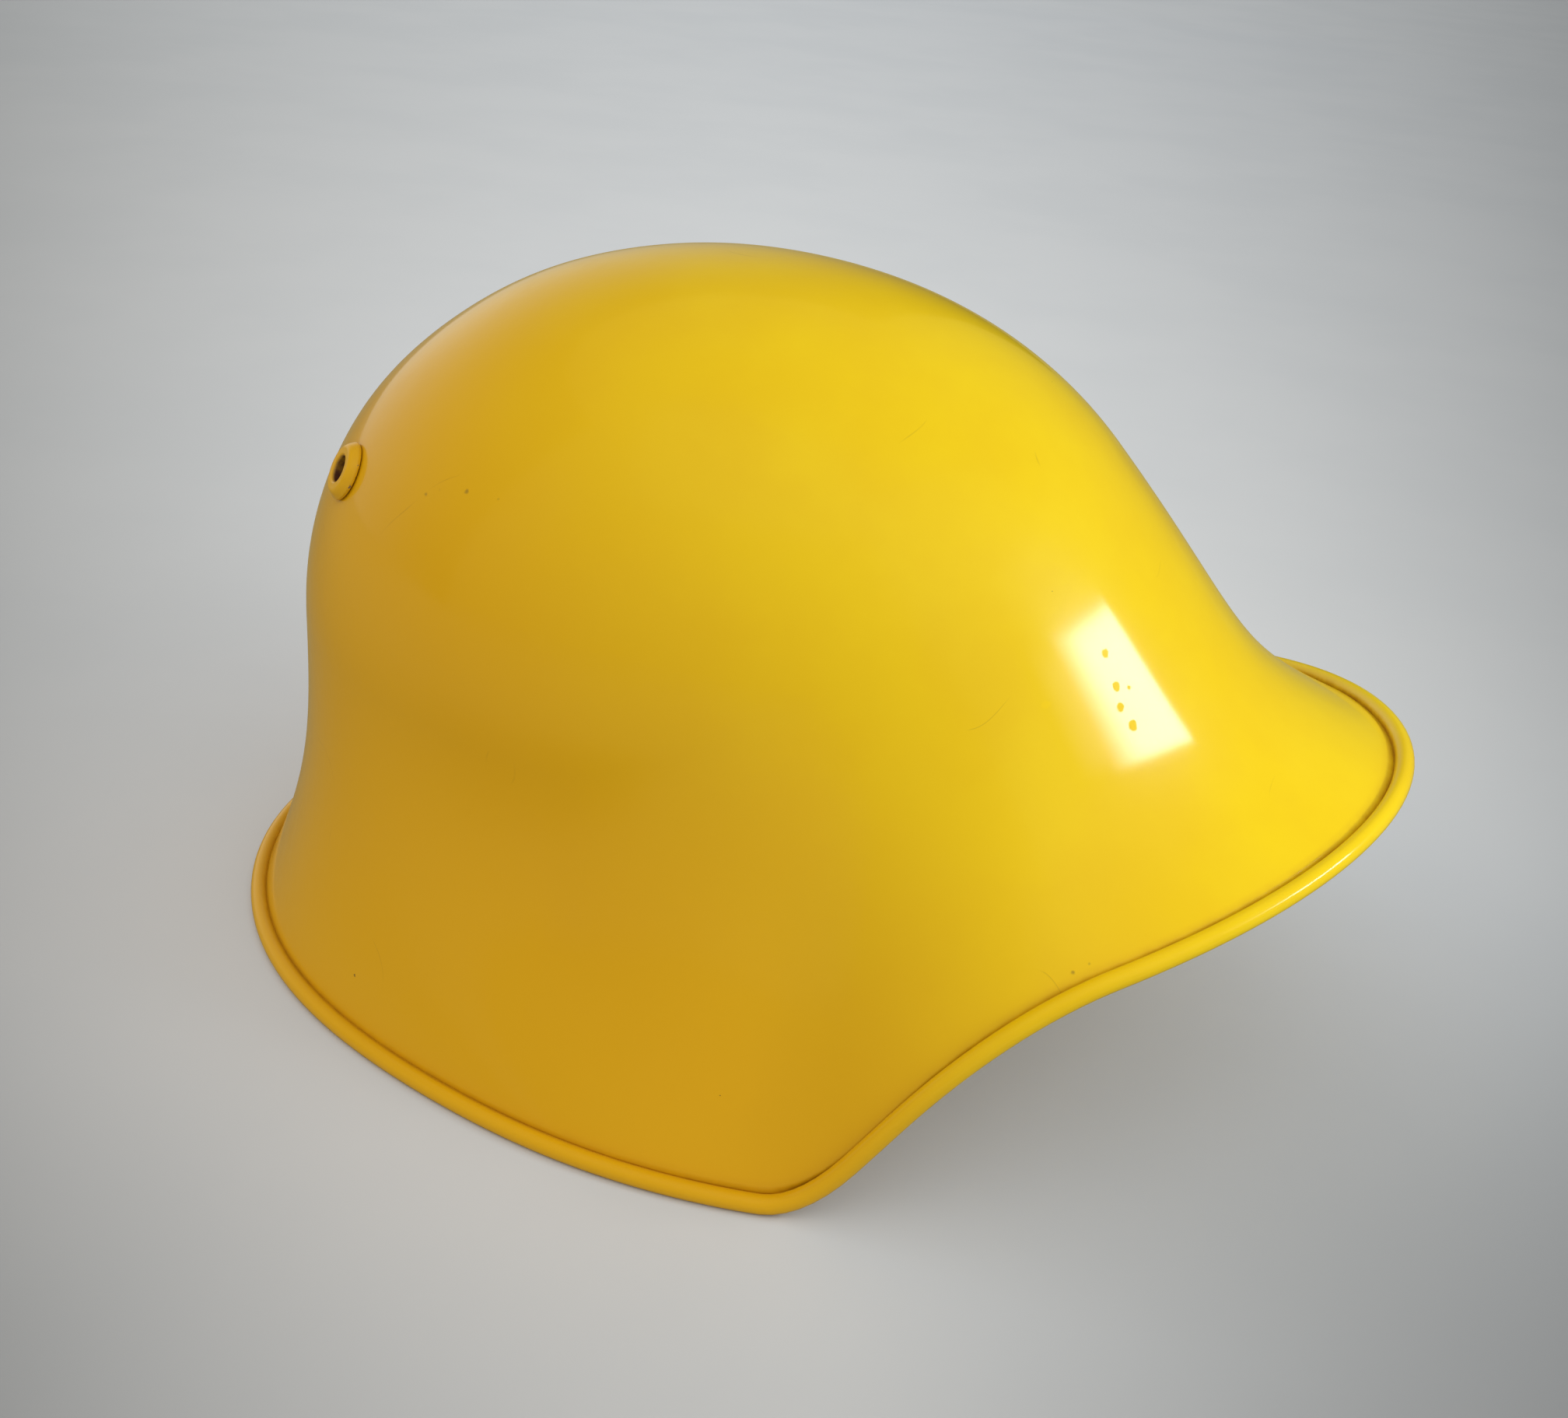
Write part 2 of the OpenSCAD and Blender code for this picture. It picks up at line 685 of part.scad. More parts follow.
// The bail hangs from the eye and leans inwards to the strap's loop on the floor
module bail() {
    color("silver")
        translate([strap_x, eye_y, eye_z])
            rotate([-90 - bail_lean, 0, 0])
                mirror([0, 0, 1])
                    wire_ring(bail_w, bail_h, bail_wire_r, bail_bend);
}
module bail_left() {
    bail();
}
module bail_right() {
    both(-1)
        bail();
}

// Each half of the strap is drawn from its bail's bar at the origin, with +Y running inwards
module at_bar(side) {
    both(side)
        translate([strap_x, bar_y, bar_z])
            mirror([0, 1, 0])
                children();
}
module across(w) {
    translate([-w / 2, 0, 0])
        rotate([90, 0, 90])
            linear_extrude(w)
                children();
}
taper = 9;
// Leather folded round a bar, running off along +Y
module loop_body(wire_r) {
    outer = wire_r + fold_gap + strap_t;
    across(strap_w)
        circle(r = outer);
    across(strap_w)
        polygon([[0, outer], [taper, strap_t], [taper, -strap_t], [0, -outer]]);
}
module loop_hole(wire_r) {
    hole = wire_r + fold_gap;
    wide = 2 * strap_w;
    across(wide)
        circle(r = hole);
    across(wide)
        polygon([[0, hole], [taper - 2, 0], [0, -hole]]);
}
module slab(from, to, low, high) {
    translate([-strap_w / 2, from, low])
        cube([strap_w, to - from, high - low]);
}
rivet_at = 15;
fold_len = 22;
front_gap = 4;
turn_out = turn_r + strap_t / 2;
frame_end = short_len + frame_len + frame_wire_r;
long_run = 2 * bar_y - frame_end - front_gap - turn_out;
long_back = long_len - long_run - PI * turn_r;
long_tilt = asin((bar_z - strap_t - floor_gap) / long_run);
strap_head_r = 3;
strap_head_t = 0.9;
tip_margin = 14;
tip_blunt = 0.9;

module strap_long() {
    mid = -strap_t / 2;
    top = mid + 2 * turn_r - strap_t / 2;
    tip = long_run - long_back;
    tip_r = strap_w / 2 + tip_blunt;
    color("sienna")
        at_bar(1)
            rotate([-long_tilt, 0, 0])
                difference() {
                    union() {
                        loop_body(bail_wire_r);
                        slab(taper - 1, fold_len, -strap_t, strap_t);
                        slab(fold_len - 1, long_run, -strap_t, 0);
                        slab(tip, long_run, top, top + strap_t);
                        difference() {
                            across(strap_w)
                                translate([long_run, mid + turn_r])
                                    circle(r = turn_out);
                            across(2 * strap_w)
                                translate([long_run, mid + turn_r])
                                    circle(r = turn_r - strap_t / 2);
                            translate([-strap_w, long_run - 2 * turn_out, -turn_out])
                                cube([2 * strap_w, 2 * turn_out, 4 * turn_out]);
                        }
                    }
                    loop_hole(bail_wire_r);
                    translate([0, tip, top - strap_t])
                        difference() {
                            translate([-strap_w, -strap_t, 0])
                                cube([2 * strap_w, strap_t + tip_r, 3 * strap_t]);
                            translate([0, tip_r, -strap_t])
                                cylinder(r = tip_r, h = 5 * strap_t);
                        }
                    translate([0, rivet_at, -2 * strap_t])
                        cylinder(r = strap_rivet_r + shank_gap, h = 4 * strap_t);
                    for (i = [0:prong_holes - 1])
                        translate([0, tip + tip_margin + i * hole_pitch, top - strap_t])
                            cylinder(r = prong_r + slip_gap, h = 3 * strap_t);
                }
}
module strap_rivet(at) {
    translate([0, at, 0]) {
        translate([0, 0, -strap_t - seat_gap - sink])
            cylinder(r = strap_rivet_r, h = 2 * (strap_t + seat_gap + sink));
        for (s = [0, 1])
            mirror([0, 0, s])
                translate([0, 0, strap_t + seat_gap])
                    dome_head(strap_head_r, strap_head_t);
    }
}
module strap_long_rivet() {
    color("silver")
        at_bar(1)
            rotate([-long_tilt, 0, 0])
                strap_rivet(rivet_at);
}
prong_len = 3;
slot_half = prong_len / 2 + 2 * slip_gap;
slot_back = 6;
module strap_short() {
    color("sienna")
        at_bar(-1)
            difference() {
                union() {
                    loop_body(bail_wire_r);
                    translate([0, short_len, 0])
                        mirror([0, 1, 0])
                            loop_body(frame_wire_r);
                    slab(taper - 1, short_len - taper + 1, -strap_t, strap_t);
                }
                loop_hole(bail_wire_r);
                translate([0, short_len, 0])
                    mirror([0, 1, 0])
                        loop_hole(frame_wire_r);
                for (at = [rivet_at, short_len - rivet_at])
                    translate([0, at, -2 * strap_t])
                        cylinder(r = strap_rivet_r + shank_gap, h = 4 * strap_t);
                translate([-slot_half, short_len - slot_back, -2 * fold_r])
                    cube([2 * slot_half, slot_back + 2 * fold_r, 4 * fold_r]);
            }
}
module strap_short_rivets() {
    color("silver")
        at_bar(-1)
            for (at = [rivet_at, short_len - rivet_at])
                strap_rivet(at);
}
module strap_keeper() {
    wide = strap_w / 2 + slip_gap;
    low = strap_t + slip_gap;
    high = 2 * strap_t + 3 * slip_gap;
    color("sienna")
        at_bar(-1)
            translate([0, short_len / 2 + keeper_len / 2, 0])
                rotate([90, 0, 0])
                    linear_extrude(keeper_len)
                        difference() {
                            translate([-wide - keeper_t, -low - keeper_t])
                                square([2 * (wide + keeper_t), low + high + 2 * keeper_t]);
                            translate([-wide, -low])
                                square([2 * wide, low + high]);
                        }
}
frame_bend = 3;
prong_wall = 1.1;
frame_drop = asin((bar_z - frame_wire_r - floor_gap) / frame_len);
module at_heel() {
    at_bar(-1)
        translate([0, short_len, 0])
            children();
}
module buckle_frame() {
    color("silver")
        at_heel()
            rotate([-frame_drop, 0, 0])
                wire_ring(frame_w, frame_len, frame_wire_r, frame_bend);
}
module buckle_prong() {
    loop_in = frame_wire_r + run_gap;
    loop_out = loop_in + prong_wall;
    far_y = frame_len * cos(frame_drop);
    far_z = -frame_len * sin(frame_drop) + frame_wire_r + prong_r + seat_gap;
    color("silver")
        at_heel()
            difference() {
                union() {
                    translate([-prong_len / 2, 0, 0])
                        rotate([0, 90, 0])
                            cylinder(r = loop_out, h = prong_len);
                    rotate([-90 + atan2(far_z, far_y), 0, 0])
                        cylinder(r = prong_r, h = far_y + frame_wire_r);
                }
                translate([-prong_len, 0, 0])
                    rotate([0, 90, 0])
                        cylinder(r = loop_in, h = 2 * prong_len);
            }
}

shell();
vent_bushing_left();
vent_bushing_right();
vent_washers();
liner_lug_left();
liner_lug_right();
liner_lug_rear();
liner_band();
band_rivets();
sweatband();
tongues_front();
tongues_left();
tongues_right();
pad_front();
pad_left();
pad_right();
crown_lace();
strap_lug_left();
strap_lug_right();
bail_left();
bail_right();
strap_long();
strap_long_rivet();
strap_short();
strap_short_rivets();
strap_keeper();
buckle_frame();
buckle_prong();
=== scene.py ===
# %% [markdown]
# # A deep-skirted steel helmet
# A rescue helmet of one pressed steel shell with a sloping visor, an edge rolled
# outwards round a bead, and two vents behind the ears. A leather liner hangs inside it.
# The construction model is loaded first, as a fixed frame. Each visible piece is then
# worked out again as a fine surface in the same place, and gets its finish.

# %% Load the construction model
import math

import bmesh
import bpy
import numpy as np
from mathutils import Matrix, Vector


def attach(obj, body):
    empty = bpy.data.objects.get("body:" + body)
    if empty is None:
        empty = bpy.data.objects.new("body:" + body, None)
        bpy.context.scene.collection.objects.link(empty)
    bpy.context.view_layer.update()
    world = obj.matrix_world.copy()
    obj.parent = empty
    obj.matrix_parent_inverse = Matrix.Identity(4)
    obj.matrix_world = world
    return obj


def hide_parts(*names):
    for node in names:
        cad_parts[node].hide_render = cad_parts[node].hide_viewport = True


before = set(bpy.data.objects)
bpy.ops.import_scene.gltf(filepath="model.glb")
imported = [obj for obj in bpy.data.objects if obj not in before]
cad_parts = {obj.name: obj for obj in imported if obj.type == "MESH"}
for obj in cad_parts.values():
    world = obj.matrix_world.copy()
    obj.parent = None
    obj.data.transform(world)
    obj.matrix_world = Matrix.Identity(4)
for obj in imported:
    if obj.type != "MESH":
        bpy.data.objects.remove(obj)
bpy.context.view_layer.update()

bpy.context.scene.view_settings.view_transform = "Standard"

# %% [markdown]
# ## The camera
# A camera in Blender looks along its own -Z, with X to the right and Y up. Its place,
# turn and lens come from fitting the helmet's outline, so the numbers are odd ones.
# The lens follows from the focal length in pixels of a frame 2016 pixels wide.

# %% Camera
IMAGE_W, FOCAL = 2016, 2300
azimuth, elevation, roll = np.radians([13.566, 27.66, 5.556])
back = np.array([math.sin(azimuth) * math.cos(elevation),
                 -math.cos(azimuth) * math.cos(elevation), math.sin(elevation)])
level = np.array([math.cos(azimuth), math.sin(azimuth), 0])
plumb = np.cross(back, level)
right = math.cos(roll) * level + math.sin(roll) * plumb
above = -math.sin(roll) * level + math.cos(roll) * plumb
eye = np.array([0.0983, -0.4314, 0.3012])

camera = bpy.data.objects.new("camera", bpy.data.cameras.new("camera"))
camera.data.lens = FOCAL / IMAGE_W * camera.data.sensor_width
camera.matrix_world = Matrix([[*row, at] for row, at in zip(np.stack([right, above, back], 1), eye)]
                             + [[0, 0, 0, 1]])
bpy.context.scene.collection.objects.link(camera)
bpy.context.scene.camera = camera
print("camera at", eye, "lens", round(camera.data.lens, 2), "mm")

# %% [markdown]
# ## Surfaces from arrays
# Every new piece is a grid of points: a function of two parameters gives the points, and
# the faces join each point to its neighbours. A form is the three arrays of points,
# four-sided faces and three-sided faces, in millimetres until it becomes a mesh.
# The signed volume tells whether a closed form's faces point outwards.

# %% Forms and meshes
MM = 0.001


def smooth(x):
    """Step from 0 to 1 without corners: 3x^2 - 2x^3, with x held between 0 and 1."""
    x = np.clip(x, 0, 1)
    return x * x * (3 - 2 * x)


def rounding(away, radius, least=0.0):
    """Height of a quarter circle, at a distance in from its foot: the root of 1 - (1 - x)^2."""
    return np.sqrt(np.clip(1 - (1 - np.clip(away / radius, 0, 1)) ** 2, least, 1))


def unit(v):
    """v divided by its length, along the last axis."""
    return v / np.linalg.norm(v, axis=-1, keepdims=True)


def grid_quads(rows, cols, loop_rows=False, loop_cols=True):
    """Faces between neighbours of a grid numbered row by row, joined end to start where it loops."""
    i, j = np.meshgrid(np.arange(rows - (not loop_rows)), np.arange(cols - (not loop_cols)),
                       indexing="ij")
    down, on = (i + 1) % rows, (j + 1) % cols
    return np.stack([i * cols + j, down * cols + j, down * cols + on, i * cols + on], -1).reshape(-1, 4)


def volume(form):
    """Sum over the faces of the tetrahedra to the origin: a sixth of a . (b x c)."""
    points, quads, tris = form
    fans = np.concatenate([quads[:, [0, 1, 2]], quads[:, [0, 2, 3]], tris])
    a, b, c = points[fans].transpose(1, 0, 2)
    return np.einsum("ij,ij->i", a, np.cross(b, c)).sum() / 6


def closed(points, quads, tris=()):
    """A closed form, turned so that its faces point outwards."""
    form = (np.asarray(points, float), np.asarray(quads, int).reshape(-1, 4),
            np.asarray(tris, int).reshape(-1, 3))
    return form if volume(form) > 0 else (form[0], form[1][:, ::-1], form[2][:, ::-1])


def joined(*forms):
    """Several forms as one, with the later ones' points numbered on."""
    first = np.cumsum([0] + [len(f[0]) for f in forms])
    return tuple(np.concatenate([f[k] + (first[i] if k else 0) for i, f in enumerate(forms)])
                 for k in range(3))


def capped(rings):
    """A tube through rings of points, closed by a fan to the middle of its first and last ring."""
    n, m = rings.shape[:2]
    points = np.concatenate([rings.reshape(-1, 3), rings[[0, -1]].mean(1)])
    j = np.arange(m)
    on = (j + 1) % m
    start = np.stack([np.full(m, n * m), on, j], 1)
    end = np.stack([np.full(m, n * m + 1), (n - 1) * m + j, (n - 1) * m + on], 1)
    return closed(points, grid_quads(n, m), np.concatenate([start, end]))


def looped(rings):
    """A ring-shaped form through rings of points, the last joined to the first."""
    n, m = rings.shape[:2]
    return closed(rings.reshape(-1, 3), grid_quads(n, m, loop_rows=True))


def piece_from(name, form, soft_shade=True):
    """A mesh object made of a form, in metres, with its place in its points."""
    points, quads, tris = form
    mesh = bpy.data.meshes.new(name)
    corners = np.concatenate([quads.ravel(), tris.ravel()]).astype(np.int32)
    sizes = np.concatenate([np.full(len(quads), 4), np.full(len(tris), 3)])
    mesh.vertices.add(len(points))
    mesh.vertices.foreach_set("co", (points * MM).astype(np.float32).ravel())
    mesh.loops.add(len(corners))
    mesh.loops.foreach_set("vertex_index", corners)
    mesh.polygons.add(len(sizes))
    mesh.polygons.foreach_set("loop_start", (np.cumsum(sizes) - sizes).astype(np.int32))
    mesh.polygons.foreach_set("use_smooth", np.full(len(sizes), soft_shade))
    mesh.update(calc_edges=True)
    piece = bpy.data.objects.new(name, mesh)
    bpy.context.scene.collection.objects.link(piece)
    print(f"{name}: {len(points)} points, {len(quads)} + {len(tris)} faces")
    return piece


def paint_mask(piece, name, values):
    """Keeps one number a point on the mesh, for a material to read by name."""
    piece.data.attributes.new(name, "FLOAT", "POINT").data.foreach_set(
        "value", np.asarray(values, np.float32))


def settle(piece, body, slot, material, *nodes):
    """Gives a piece its finish, hangs it on its body's empty, and hides the nodes it stands for."""
    piece.data.materials.clear()
    piece.data.materials.append(material)
    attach(piece, body)
    if nodes:
        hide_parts(*nodes)
    return piece


# %% [markdown]
# ## Carrying a profile round or along
# Turned pieces are a profile of radius and height carried round an axis. Wires, laces and
# straps are a section carried along a path, with two directions across the path.
# Holes are cut last, by a Boolean modifier whose result is kept as the mesh.

# %% Turning, sweeping and drilling
def lathe(profile, at, axis, steps):
    """Ring of profile points (radius, height) turned round an axis through at."""
    out = unit(np.asarray(axis, float))
    side = unit(np.cross(out, [0.3, 0.2, 1.0]))
    turn = np.linspace(0, 2 * np.pi, steps, endpoint=False)[None, :, None]
    spoke = np.cos(turn) * side + np.sin(turn) * np.cross(out, side)
    radius, height = np.asarray(profile, float).T[:, :, None, None]
    return looped(np.asarray(at, float) + height * out + radius * spoke)


def rings_along(path, across, rise, section):
    """Section points (x, y) set at each path point: path + x * across + y * rise."""
    section = np.asarray(section, float)
    if section.ndim == 2:
        section = np.broadcast_to(section, (len(path), *section.shape))
    across, rise = (np.broadcast_to(v, path.shape)[:, None] for v in (across, rise))
    return path[:, None] + section[..., :1] * across + section[..., 1:] * rise


def circle(radius, sides):
    """Round section."""
    turn = np.linspace(0, 2 * np.pi, sides, endpoint=False)
    return radius * np.stack([np.cos(turn), np.sin(turn)], 1)


def strip(width, thick, corner, arc, flat):
    """Section of a strip: a rectangle with rounded corners and a few points along its long sides."""
    turn = np.linspace(0, np.pi / 2, arc + 1)
    x, y = width / 2 - corner, thick / 2 - corner
    sides = []
    for k, (sx, sy) in enumerate([(1, 1), (-1, 1), (-1, -1), (1, -1)]):
        v = turn + k * np.pi / 2
        sides.append(np.stack([sx * x + corner * np.cos(v), sy * y + corner * np.sin(v)], 1))
        if k % 2 == 0:
            run = np.linspace(sx * x, -sx * x, flat + 2)[1:-1]
            sides.append(np.stack([run, np.full(flat, sy * thick / 2)], 1))
    return np.concatenate(sides)


def keep_result(piece):
    """Puts what the modifiers make into the mesh itself, and takes the modifiers off."""
    bpy.context.view_layer.update()
    made = bpy.data.meshes.new_from_object(
        piece.evaluated_get(bpy.context.evaluated_depsgraph_get()))
    piece.modifiers.clear()
    old, piece.data = piece.data, made
    bpy.data.meshes.remove(old)
    made.name = piece.name
    return piece


def drill(piece, *cutters):
    """Takes closed forms out of a piece."""
    tool = piece_from("cutter", joined(*cutters))
    cut = piece.modifiers.new("holes", "BOOLEAN")
    cut.operation, cut.solver, cut.object = "DIFFERENCE", "EXACT", tool
    keep_result(piece)
    mesh = tool.data
    bpy.data.objects.remove(tool)
    bpy.data.meshes.remove(mesh)
    return piece


def rod(radius, start, end, steps):
    """Round rod between two points, used as a drill."""
    start, end = np.asarray(start, float), np.asarray(end, float)
    out = unit(end - start)
    side = unit(np.cross(out, [0.3, 0.2, 1.0]))
    return capped(rings_along(np.stack([start, end]), side, np.cross(out, side), circle(radius, steps)))


# %% [markdown]
# ## Node trees
# A material is a tree of nodes. This helper adds one node, sets its options and fills its
# inputs, each with a plain value or with another node's output. What several finishes
# share, such as grain, grime and specks, becomes a node group with named sockets.

# %% Node helpers
def add(tree, kind, inputs=None, **options):
    """Adds a shader node. An input given as a socket is linked, any other value is set."""
    node = tree.nodes.new("ShaderNode" + kind)
    for name, value in options.items():
        setattr(node, name, value)
    for name, value in (inputs or {}).items():
        if isinstance(value, bpy.types.NodeSocket):
            tree.links.new(value, node.inputs[name])
        else:
            node.inputs[name].default_value = value
    return node


def maths(tree, how, a, b=0.0, c=0.0, clamp=False):
    """The output of a Math node."""
    return add(tree, "Math", {0: a, 1: b, 2: c}, operation=how, use_clamp=clamp).outputs[0]


def ramp(tree, value, low, high, to_low=0.0, to_high=1.0):
    """A value carried smoothly from one range to another."""
    return add(tree, "MapRange", {"Value": value, "From Min": low, "From Max": high,
                                  "To Min": to_low, "To Max": to_high},
               interpolation_type="SMOOTHSTEP").outputs["Result"]


def blended(tree, share, a, b):
    """A mix of two colours: all a at share 0, all b at share 1."""
    node = add(tree, "Mix", data_type="RGBA")
    for socket, value in zip([node.inputs[0], node.inputs[6], node.inputs[7]], [share, a, b]):
        if isinstance(value, bpy.types.NodeSocket):
            tree.links.new(value, socket)
        else:
            socket.default_value = value
    return node.outputs[2]


def clouds(tree, coords, scale, detail, rough=0.5):
    """Noise with about scale blobs to the metre."""
    return add(tree, "TexNoise", {"Vector": coords, "Scale": scale, "Detail": detail,
                                  "Roughness": rough}).outputs["Fac"]


def noise(tree, coords, size, detail, rough=0.5):
    """Noise whose blobs are about size millimetres across."""
    return clouds(tree, coords, 1 / (size * MM), detail, rough)


def new_group(name, inputs, outputs):
    """An empty node group, the sockets that bring values into it, and those that take them out."""
    tree = bpy.data.node_groups.new(name, "ShaderNodeTree")
    for side, sockets in (("INPUT", inputs), ("OUTPUT", outputs)):
        for label, kind, *value in sockets:
            socket = tree.interface.new_socket(label, in_out=side, socket_type="NodeSocket" + kind)
            if value:
                socket.default_value = value[0]
    return tree, tree.nodes.new("NodeGroupInput").outputs, tree.nodes.new("NodeGroupOutput").inputs


def use(tree, group, **inputs):
    """Places a group in a tree. An underscore in an input's name stands for a space."""
    node = tree.nodes.new("ShaderNodeGroup")
    node.node_tree = group
    for name, value in inputs.items():
        socket = node.inputs[name.replace("_", " ")]
        if isinstance(value, bpy.types.NodeSocket):
            tree.links.new(value, socket)
        else:
            socket.default_value = value
    return node


def new_material(name, **fixed):
    """A material with its Principled shader, whose plain inputs are set by name."""
    material = bpy.data.materials.new(name)
    material.use_nodes = True
    tree = material.node_tree
    shader = tree.nodes["Principled BSDF"]
    for label, value in fixed.items():
        shader.inputs[label.replace("_", " ")].default_value = value
    coords = add(tree, "TexCoord").outputs["Object"]
    return material, tree, shader, coords


def attribute(tree, name):
    """A mask kept on the mesh."""
    return add(tree, "Attribute", attribute_name=name).outputs["Fac"]


def bumped(tree, shader, height, depth):
    """Feeds a height, which counts depth millimetres for each 1, to the shader's normal."""
    bump = add(tree, "Bump", {"Height": height, "Distance": depth * MM, "Strength": 1.0})
    tree.links.new(bump.outputs["Normal"], shader.inputs["Normal"])


def feed(tree, shader, **sockets):
    """Links sockets to the shader's inputs by name."""
    for label, socket in sockets.items():
        tree.links.new(socket, shader.inputs[label.replace("_", " ")])


# %% [markdown]
# ## Shared effects
# Paint that has aged shows slow drifts of tone, fine specks of dirt, and chips along worn
# edges. Leather has a pebbled grain with pores. The enamel carries painted shade: it is
# painted yellow at the front and top and darker amber low at the rear. Each effect is a group
# that takes the coordinates and its sizes, and gives back a mask, a colour or a height.

# %% Group: drift of tone
drift, source, result = new_group("drift of tone", [
    ("Coordinates", "Vector"), ("Color", "Color", (0.5, 0.5, 0.5, 1)),
    ("Other", "Color", (0.4, 0.4, 0.4, 1)), ("Size", "Float", 40.0), ("Amount", "Float", 0.5)],
    [("Color", "Color")])
scale = maths(drift, "DIVIDE", 1000.0, source["Size"])
cloud = ramp(drift, clouds(drift, source["Coordinates"], scale, 4.0, 0.55), 0.35, 0.68)
share = maths(drift, "MULTIPLY", cloud, source["Amount"])
drift.links.new(blended(drift, share, source["Color"], source["Other"]), result["Color"])

# %% Group: specks
specks, source, result = new_group("specks", [
    ("Coordinates", "Vector"), ("Spacing", "Float", 8.0), ("Size", "Float", 0.12),
    ("Share", "Float", 0.5)], [("Mask", "Float")])
scale = maths(specks, "DIVIDE", 1000.0, source["Spacing"])
bent = add(specks, "TexNoise", {"Vector": source["Coordinates"], "Scale": 900.0,
                                "Detail": 2.0}).outputs["Color"]
bent = add(specks, "VectorMath", {0: bent, "Scale": 0.0012}, operation="SCALE").outputs[0]
spot = add(specks, "VectorMath", {0: source["Coordinates"], 1: bent}, operation="ADD").outputs[0]
cells = add(specks, "TexVoronoi", {"Vector": spot, "Scale": scale, "Randomness": 1.0})
chosen = add(specks, "SeparateColor", {"Color": cells.outputs["Color"]})
radius = maths(specks, "MULTIPLY", chosen.outputs["Green"], source["Size"])
inside = maths(specks, "LESS_THAN", cells.outputs["Distance"], radius)
picked = maths(specks, "LESS_THAN", chosen.outputs["Red"], source["Share"])
specks.links.new(maths(specks, "MULTIPLY", inside, picked), result["Mask"])

# %% Group: worn edge
worn, source, result = new_group("worn edge", [
    ("Coordinates", "Vector"), ("Edge", "Float", 0.0), ("Size", "Float", 3.0),
    ("Amount", "Float", 0.5)], [("Mask", "Float")])
scale = maths(worn, "DIVIDE", 1000.0, source["Size"])
ragged = clouds(worn, source["Coordinates"], scale, 5.0, 0.65)
limit = maths(worn, "MULTIPLY_ADD", source["Amount"], -0.34, 0.86)
reach = maths(worn, "MULTIPLY", ragged, maths(worn, "MULTIPLY_ADD", source["Edge"], 0.5, 0.5))
gone = add(worn, "MapRange", {"Value": maths(worn, "SUBTRACT", reach, limit), "From Min": 0.0,
                              "From Max": 0.02}).outputs["Result"]
worn.links.new(maths(worn, "MULTIPLY", gone, source["Edge"]), result["Mask"])

# %% Group: leather grain
grain, source, result = new_group("leather grain", [
    ("Coordinates", "Vector"), ("Size", "Float", 1.2), ("Color", "Color", (0.4, 0.2, 0.1, 1)),
    ("Dark", "Color", (0.2, 0.1, 0.05, 1))], [("Height", "Float"), ("Color", "Color")])
scale = maths(grain, "DIVIDE", 1000.0, source["Size"])
from_pore = add(grain, "TexVoronoi", {"Vector": source["Coordinates"], "Scale": scale, "Randomness": 0.9},
                feature="DISTANCE_TO_EDGE").outputs["Distance"]
pebble = ramp(grain, from_pore, 0.0, 0.28)
fine = clouds(grain, source["Coordinates"], maths(grain, "MULTIPLY", scale, 2.3), 4.0)
grain.links.new(maths(grain, "MULTIPLY_ADD", fine, 0.5, pebble), result["Height"])
patch = clouds(grain, source["Coordinates"], 45.0, 4.0)
light_share = maths(grain, "MULTIPLY", ramp(grain, patch, 0.3, 0.7),
                    maths(grain, "MULTIPLY_ADD", pebble, 0.45, 0.55))
grain.links.new(blended(grain, light_share, source["Dark"], source["Color"]), result["Color"])

# %% Group: enamel shade and drift
YELLOW = (0.88, 0.615, 0.004, 1)
AMBER = (0.71, 0.365, 0.003, 1)
enamel_shade_and_drift, source, result = new_group("enamel shade and drift", [("Coordinates", "Vector"), ("Amount", "Float", 0.22)],
                                  [("Color", "Color")])
spot = add(enamel_shade_and_drift, "SeparateXYZ", {0: source["Coordinates"]})
# painted shade: yellow at the front and top, darker amber low at the rear, then a random drift of tone
front_top = ramp(enamel_shade_and_drift, maths(enamel_shade_and_drift, "ADD", spot.outputs["X"], spot.outputs["Z"]), 0.02, 0.24)
paint = blended(enamel_shade_and_drift, front_top, AMBER, YELLOW)
tone = use(enamel_shade_and_drift, drift, Coordinates=source["Coordinates"], Color=paint, Other=AMBER, Size=55.0,
           Amount=source["Amount"])
enamel_shade_and_drift.links.new(tone.outputs["Color"], result["Color"])

# %% Group: hairlines
hairlines, source, result = new_group("hairlines", [
    ("Coordinates", "Vector"), ("Size", "Float", 60.0), ("Width", "Float", 0.0009)], [("Mask", "Float")])
scale = maths(hairlines, "DIVIDE", 1000.0, source["Size"])
field = clouds(hairlines, source["Coordinates"], scale, 1.0)
off_line = maths(hairlines, "ABSOLUTE", maths(hairlines, "SUBTRACT", field, 0.5))
thin = maths(hairlines, "LESS_THAN", off_line, source["Width"])
where = clouds(hairlines, source["Coordinates"], 38.0, 4.0)
hairlines.links.new(maths(hairlines, "MULTIPLY", thin, ramp(hairlines, where, 0.58, 0.66)), result["Mask"])
print("shared effects:", [g.name for g in (drift, specks, worn, grain, enamel_shade_and_drift, hairlines)])
